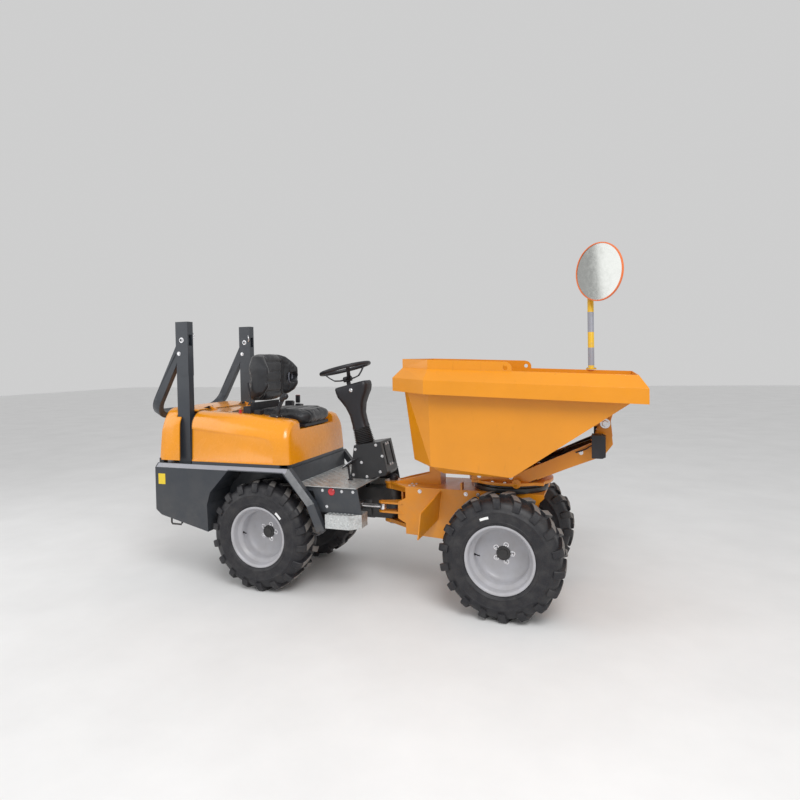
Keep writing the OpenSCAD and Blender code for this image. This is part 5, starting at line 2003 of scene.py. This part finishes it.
# ------------------------------------------------------------------ rear body and roll hoop
@dataclass
class RearTrim:
    """What dresses the rear body: painted highlight on the folded edge, labels, loops, tail lights and hoop bolts.
    """

    edge_low: float = 820
    edge_high: float = 850
    side: float = 505
    hoop_x: float = -1452
    post_y: float = 405
    hinge_z: float = 1737

    def folded_edge(self) -> None:
        """Lays a light grey strip along the folded edge of the body, a painted highlight where the chamfer faces the
        sky.
        """
        for side in (-1, 1):
            line = []
            for x in (-1650, -586):
                foot, top = Vector((x, side * (self.side - 3), self.edge_low + 2)), Vector((x, side * 477,
                    self.edge_high - 2))
                out = Vector((0, side * 0.707, 0.707)) * 0.8
                line.append([spot(*foot), spot(*top), spot(*(top + out)), spot(*(foot + out))])
            # The strip's grey is painted highlight on the chamfer of the dark body.
            strip = Shape.loft(f"edge_strip_{'right' if side < 0 else 'left'}", line)
            strip.dress(EDGE_HIGHLIGHT).ride(Body.REAR, "dark_paint")

    def loops(self) -> None:
        """Adds the tie-down loops on the sides."""
        for side in (-1, 1):
            y = side * 480
            hang = [(-1545, 478), (-1545, 420), (-1538, 410), (-1462, 410), (-1454, 418), (-1454, 462)]
            ring = tube(f"tie_loop_{'right' if side < 0 else 'left'}", [spot(x, y, z) for x, z in hang],
                        0.0065)
            ring.smooth(50).dress(BLACK).ride(Body.REAR, "black_paint")

    def labels(self) -> None:
        """Adds the blank labels of the sides."""
        for side in (-1, 1):
            y0, y1 = sorted((side * 505, side * 506))
            label = Shape.box(f"side_label_{'right' if side < 0 else 'left'}", spot(-1632, y0, 700),
                              spot(-1572, y1, 776))
            label.dress(PLATE_YELLOW).ride(Body.REAR, "yellow_paint")

    def tail_lights(self) -> None:
        """Adds a lamp with a red and an amber lens at each side of the tail."""
        for side in (-1, 1):
            hand = "right" if side < 0 else "left"
            y0, y1 = sorted((side * 300, side * 440))
            box = Shape.box(f"tail_lamp_{hand}", spot(-1663, y0, 700), spot(-1648, y1, 760))
            box.bevel(0.004, 2).smooth().dress(PLASTIC).ride(Body.REAR, "black_plastic")
            for k, finish in enumerate((RED, AMBER)):
                a, b = sorted((side * (306 + 66 * k), side * (366 + 66 * k)))
                lens = Shape.box(f"tail_lens_{hand}_{'inner' if k == 0 else 'outer'}", spot(-1666, a, 706),
                                 spot(-1655, b, 754))
                lens.bevel(0.002, 2).smooth().dress(finish).ride(Body.REAR, "black_plastic")

    def hoop(self) -> None:
        """Adds the bracket bolts, the hinge washers and the latch pins of the roll hoop."""
        places, washers = [], []
        for side in (-1, 1):
            for s in (-1, 1):
                face = side * self.post_y + s * 31
                for x, z in ((-1478, 1640),):
                    places.append(facing(spot(x, face, z), (0, s, 0)))
                washers.append(facing(spot(self.hoop_x, face, self.hinge_z), (0, s, 0)))
        bolts = Fasteners(10)
        bolts.fit("hoop_bracket_bolts", Body.REAR, places)
        bolts.remove()
        heads = Fasteners(13)
        heads.fit("hoop_hinge_bolts", Body.REAR, washers)
        heads.remove()
        for side in (-1, 1):
            ring = [spot(-1412, side * 370, 1795), spot(-1404, side * 362, 1786),
                    spot(-1400, side * 358, 1768),
                    spot(-1402, side * 362, 1750), spot(-1410, side * 370, 1742)]
            tube(f"latch_pin_{'right' if side < 0 else 'left'}", ring,
                 0.004).smooth(50).dress(ZINC).ride(Body.REAR, "steel")

    def build(self) -> None:
        """Models the pieces."""
        self.folded_edge()
        self.loops()
        self.labels()
        self.tail_lights()
        self.hoop()


# ------------------------------------------------------------------ front machine
@dataclass
class FrontTrim:
    """Bolts, cap, hydraulic lines and work lamps' fittings of the front chassis and the turntable."""

    ring_bolts: int = 20
    deck_z: float = 788.3
    cheek: float = 205

    def cap(self) -> None:
        """Models the black cap over the articulation pin."""
        section = [(0, 0), (31, 0), (31.5, 4), (31.5, 24), (29, 28), (23, 35), (20, 37), (0, 37.5)]
        cap = Shape.turned("pivot_cap", [mm(*p) for p in section],
                           40).put(Matrix.Translation(spot(0, 0, 720.4)))
        cap.smooth(30).dress(PLASTIC).ride(Body.FRONT, "black_plastic")

    def bolts(self) -> None:
        """Adds the bolts of the ring, the deck and the guards."""
        bolts = Fasteners(9)
        ring = [Matrix.Translation(spot(820 + 252 * math.cos(TAU * i / self.ring_bolts),
                                        252 * math.sin(TAU * i / self.ring_bolts), self.deck_z))
                for i in range(self.ring_bolts) if abs(math.sin(TAU * i / self.ring_bolts)) > 0.86]
        ring += [facing(spot(x, side * self.cheek, z), (0, side, 0)) for side in (-1, 1)
                 for x, z in ((650, 815), (850, 815), (1270, 985), (1360, 1080))]
        bolts.fit("turntable_bolts", Body.TURNTABLE, ring)
        lower = [facing(spot(x, side * 200, z), (0, side, 0)) for side in (-1, 1)
                 for x, z in ((250, 690), (250, 450), (560, 690), (560, 560), (640, 690))]
        lower += [Matrix.Translation(spot(x, y, 715)) for x in (165, 195) for y in (-150, -90, 90, 150)]
        bolts.fit("chassis_bolts", Body.FRONT, lower)
        bolts.remove()
        nuts = Fasteners(20)
        nuts.fit("tip_pin_nuts", Body.TURNTABLE,
                 [facing(spot(1408, s * 217, 1165), (0, s, 0)) for s in (-1, 1)])
        nuts.remove()

    def hoses(self) -> None:
        """Models the hydraulic hoses across the articulation, which ride on no body, and those of the cylinders."""
        for i, y in enumerate((66, 84)):
            line = curve([(-196, y, 600 + i * 16), (-120, y + 22, 598 + i * 16), (-40, y + 34, 590 + i * 14),
                          (40, y + 30, 592 + i * 14), (100, y + 8, 598 + i * 16)], 7)
            hose = tube(f"articulation_hose_{i}", line, 0.0095)
            hose.smooth(60).dress(BELLOWS)
            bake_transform(hose.obj)
        lines = {"tip_hose_upper": [(1320, 60, 1042), (1290, 78, 1030), (1200, 84, 985), (1080, 84, 905),
                                    (960, 72, 822)],
                 "tip_hose_lower": [(1180, -30, 985), (1170, -60, 972), (1100, -72, 915), (960, -60, 822)]}
        for name, points in lines.items():
            tube(name, curve(points, 7), 0.009).smooth(60).dress(BELLOWS).ride(Body.TURNTABLE,
                "bellows_rubber")
        feed = tube("steer_hose", curve([(-400, -128, 600), (-380, -110, 640), (-330, -96, 650),
                                         (-300, -92, 640)], 7), 0.008)
        feed.smooth(60).dress(BELLOWS).ride(Body.REAR, "bellows_rubber")

    def lamps(self) -> None:
        """Models the work lamps' lenses, rims and cables."""
        for side in (-1, 1):
            hand = "right" if side < 0 else "left"
            for name, (z0, z1), finish in (("clear", (990, 1048), CLEAR), ("amber", (1052, 1090), AMBER)):
                a, b = sorted((side * 254, side * 322))
                lens = Shape.box(f"lamp_lens_{name}_{hand}", spot(1401.5, a, z0), spot(1408.5, b, z1))
                lens.bevel(0.003, 2).smooth().dress(finish).ride(Body.TURNTABLE, "black_plastic")
            rim = Shape.box(f"lamp_rim_{hand}", spot(1390, side * 288 - 43, 979),
                            spot(1410, side * 288 + 43, 1101))
            rim.cut(Shape.box("bite", spot(1380, side * 288 - 35, 988), spot(1420, side * 288 + 35, 1092)))
            rim.modify("BEVEL", width=0.002, segments=2, limit_method="ANGLE", angle_limit=0.6)
            rim.smooth().dress(PLASTIC).ride(Body.TURNTABLE, "black_plastic")
            cable = tube(f"lamp_cable_{hand}", curve([(1335, side * 280, 1040), (1318, side * 262, 1030),
                                                      (1300, side * 216, 1010), (1240, side * 212, 985)], 6),
                                                      0.004, 8)
            cable.smooth(60).dress(PLASTIC).ride(Body.TURNTABLE, "black_plastic")

    def build(self) -> None:
        """Models the pieces."""
        self.cap()
        self.bolts()
        self.hoses()
        self.lamps()


# ------------------------------------------------------------------ skip and mirror
@dataclass
class SkipTrim:
    """Weld beads, foot bolts and the round mirror on its banded pole."""

    side: float = 483
    rim_fall: float = 2.4
    mirror_x: float = 1316
    mirror_y: float = 495
    mirror_z: float = 2140
    mirror_turn: float = 50
    mirror_r: float = 200

    def skirt(self, x: float) -> float:
        """Gives the height of the skirt's top edge at x."""
        return 1440 - (x - 390) * math.tan(math.radians(self.rim_fall))

    def weld(self, name: str, start: Vector, end: Vector, body: Body) -> None:
        """Lays a rippled weld bead between two points.

        Args:
            name: The piece's name.
            start: Where it begins.
            end: Where it ends.
            body: The body it rides on.
        """
        count = max(8, int((end - start).length / 0.007))
        along = (end - start).normalized()
        across = along.orthogonal().normalized()
        lift = along.cross(across)
        rings = []
        for i in range(count + 1):
            radius = (3.4 + 0.9 * math.cos(i * math.pi)) * MM
            middle = start.lerp(end, i / count)
            rings.append([middle + radius * (math.cos(TAU * k / 6) * across + math.sin(TAU * k / 6) * lift) for k in range(6)])
        Shape.loft(name, rings).smooth(70).dress(YELLOW).ride(body, "yellow_paint")

    def welds(self) -> None:
        """Lays the beads along the front wall's ears and the skirt's corners."""
        for side in (-1, 1):
            hand = "right" if side < 0 else "left"
            for inner in (154, 168):
                self.weld(f"ear_weld_{hand}_{inner}", spot(1300, side * inner, 1138),
                          spot(1452, side * inner, 1243), Body.SKIP)
            self.weld(f"skirt_weld_{hand}", spot(392, side * 555, self.skirt(392) - 4),
                      spot(392, side * 555, self.skirt(392) - 78), Body.SKIP)
            self.weld(f"cheek_weld_{hand}", spot(612, side * 205, 789), spot(940, side * 205, 789),
                      Body.TURNTABLE)
            self.weld(f"rest_weld_{hand}", spot(286, side * 70, 716), spot(358, side * 70, 716), Body.FRONT)

    def mirror(self) -> None:
        """Models the mirror: glass, rim, shell, arm, clamp and foot bolts."""
        head = (Matrix.Translation(spot(self.mirror_x, self.mirror_y, self.mirror_z))
                @ Matrix.Rotation(math.radians(self.mirror_turn), 4, "Z")
                @ Matrix.Translation(Vector(mm(-32, -118, 0))) @ Matrix.Rotation(math.pi / 2, 4, "Y"))
        r = self.mirror_r
        shell = [(r - 1, -20), (r - 0.5, -12), (r - 6, -6), (r - 30, 2), (r - 80, 6), (0, 7), (0, 1),
                 (r - 34, -4), (r - 9, -12), (r - 8, -20)]
        Shape.turned("mirror_shell", [mm(*p) for p in shell], 72).put(head).smooth(40).dress(ORANGE).ride(
            Body.SKIP, "mirror_orange", ["mirror_head"])
        bead = [(r - 9, -23.6), (r - 2, -23.6), (r - 0.2, -21), (r - 0.2, -16), (r - 4, -14), (r - 9, -15)]
        Shape.turned("mirror_rim", [mm(*p) for p in bead],
                     72).put(head).smooth(40).dress(ORANGE).ride(Body.SKIP, "mirror_orange")
        glass = [(0, -22.6), (r * 0.5, -21.9), (r - 8, -19.8), (r - 8, -16), (0, -16)]
        Shape.turned("mirror_glass", [mm(*p) for p in glass],
                     72).put(head).smooth(40).dress(GLASS).ride(Body.SKIP, "mirror_orange")
        arm = Shape.box("mirror_arm", mm(-16, 0, 2), mm(16, 118 + 26, 10))
        arm.bevel(0.002, 2).put(head).smooth().dress(BLACK).ride(Body.SKIP, "black_paint")
        clamp = Shape.turned("mirror_clamp",
                             [mm(*p) for p in ((21.2, -26), (26, -26), (27, -22), (27, 22), (26, 26),
                                               (21.2, 26))], 32)
        clamp.put(Matrix.Translation(spot(self.mirror_x, self.mirror_y, self.mirror_z)))
        clamp.smooth(40).dress(BLACK).ride(Body.SKIP, "black_paint")
        foot = self.skirt(self.mirror_x) + 68 + 13.5
        bolts = Fasteners(7)
        bolts.fit("mirror_foot_bolts", Body.SKIP, [Matrix.Translation(spot(
            self.mirror_x + 29 * math.cos(a), self.mirror_y + 29 * math.sin(a), foot)) for a in (0.8, 2.4,
                4.0, 5.5)])
        bolts.remove()

    def build(self) -> None:
        """Models the pieces."""
        self.welds()
        self.mirror()


# The sub-assemblies, in the order in which they are built.
ASSEMBLIES: tuple[type, ...] = (Wheels, Hood, Seat, SteeringColumn, DriverFloor, RearTrim, FrontTrim,
                                SkipTrim)


def main() -> None:
    """Builds every sub-assembly."""
    logging.basicConfig(level=logging.INFO, format="%(message)s")
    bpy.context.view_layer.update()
    Studio().build()
    CadFinish().dress()
    for assembly in ASSEMBLIES:
        log.info("building %s", assembly.__name__)
        assembly().build()
    deselect()


if __name__ == "__main__":
    main()
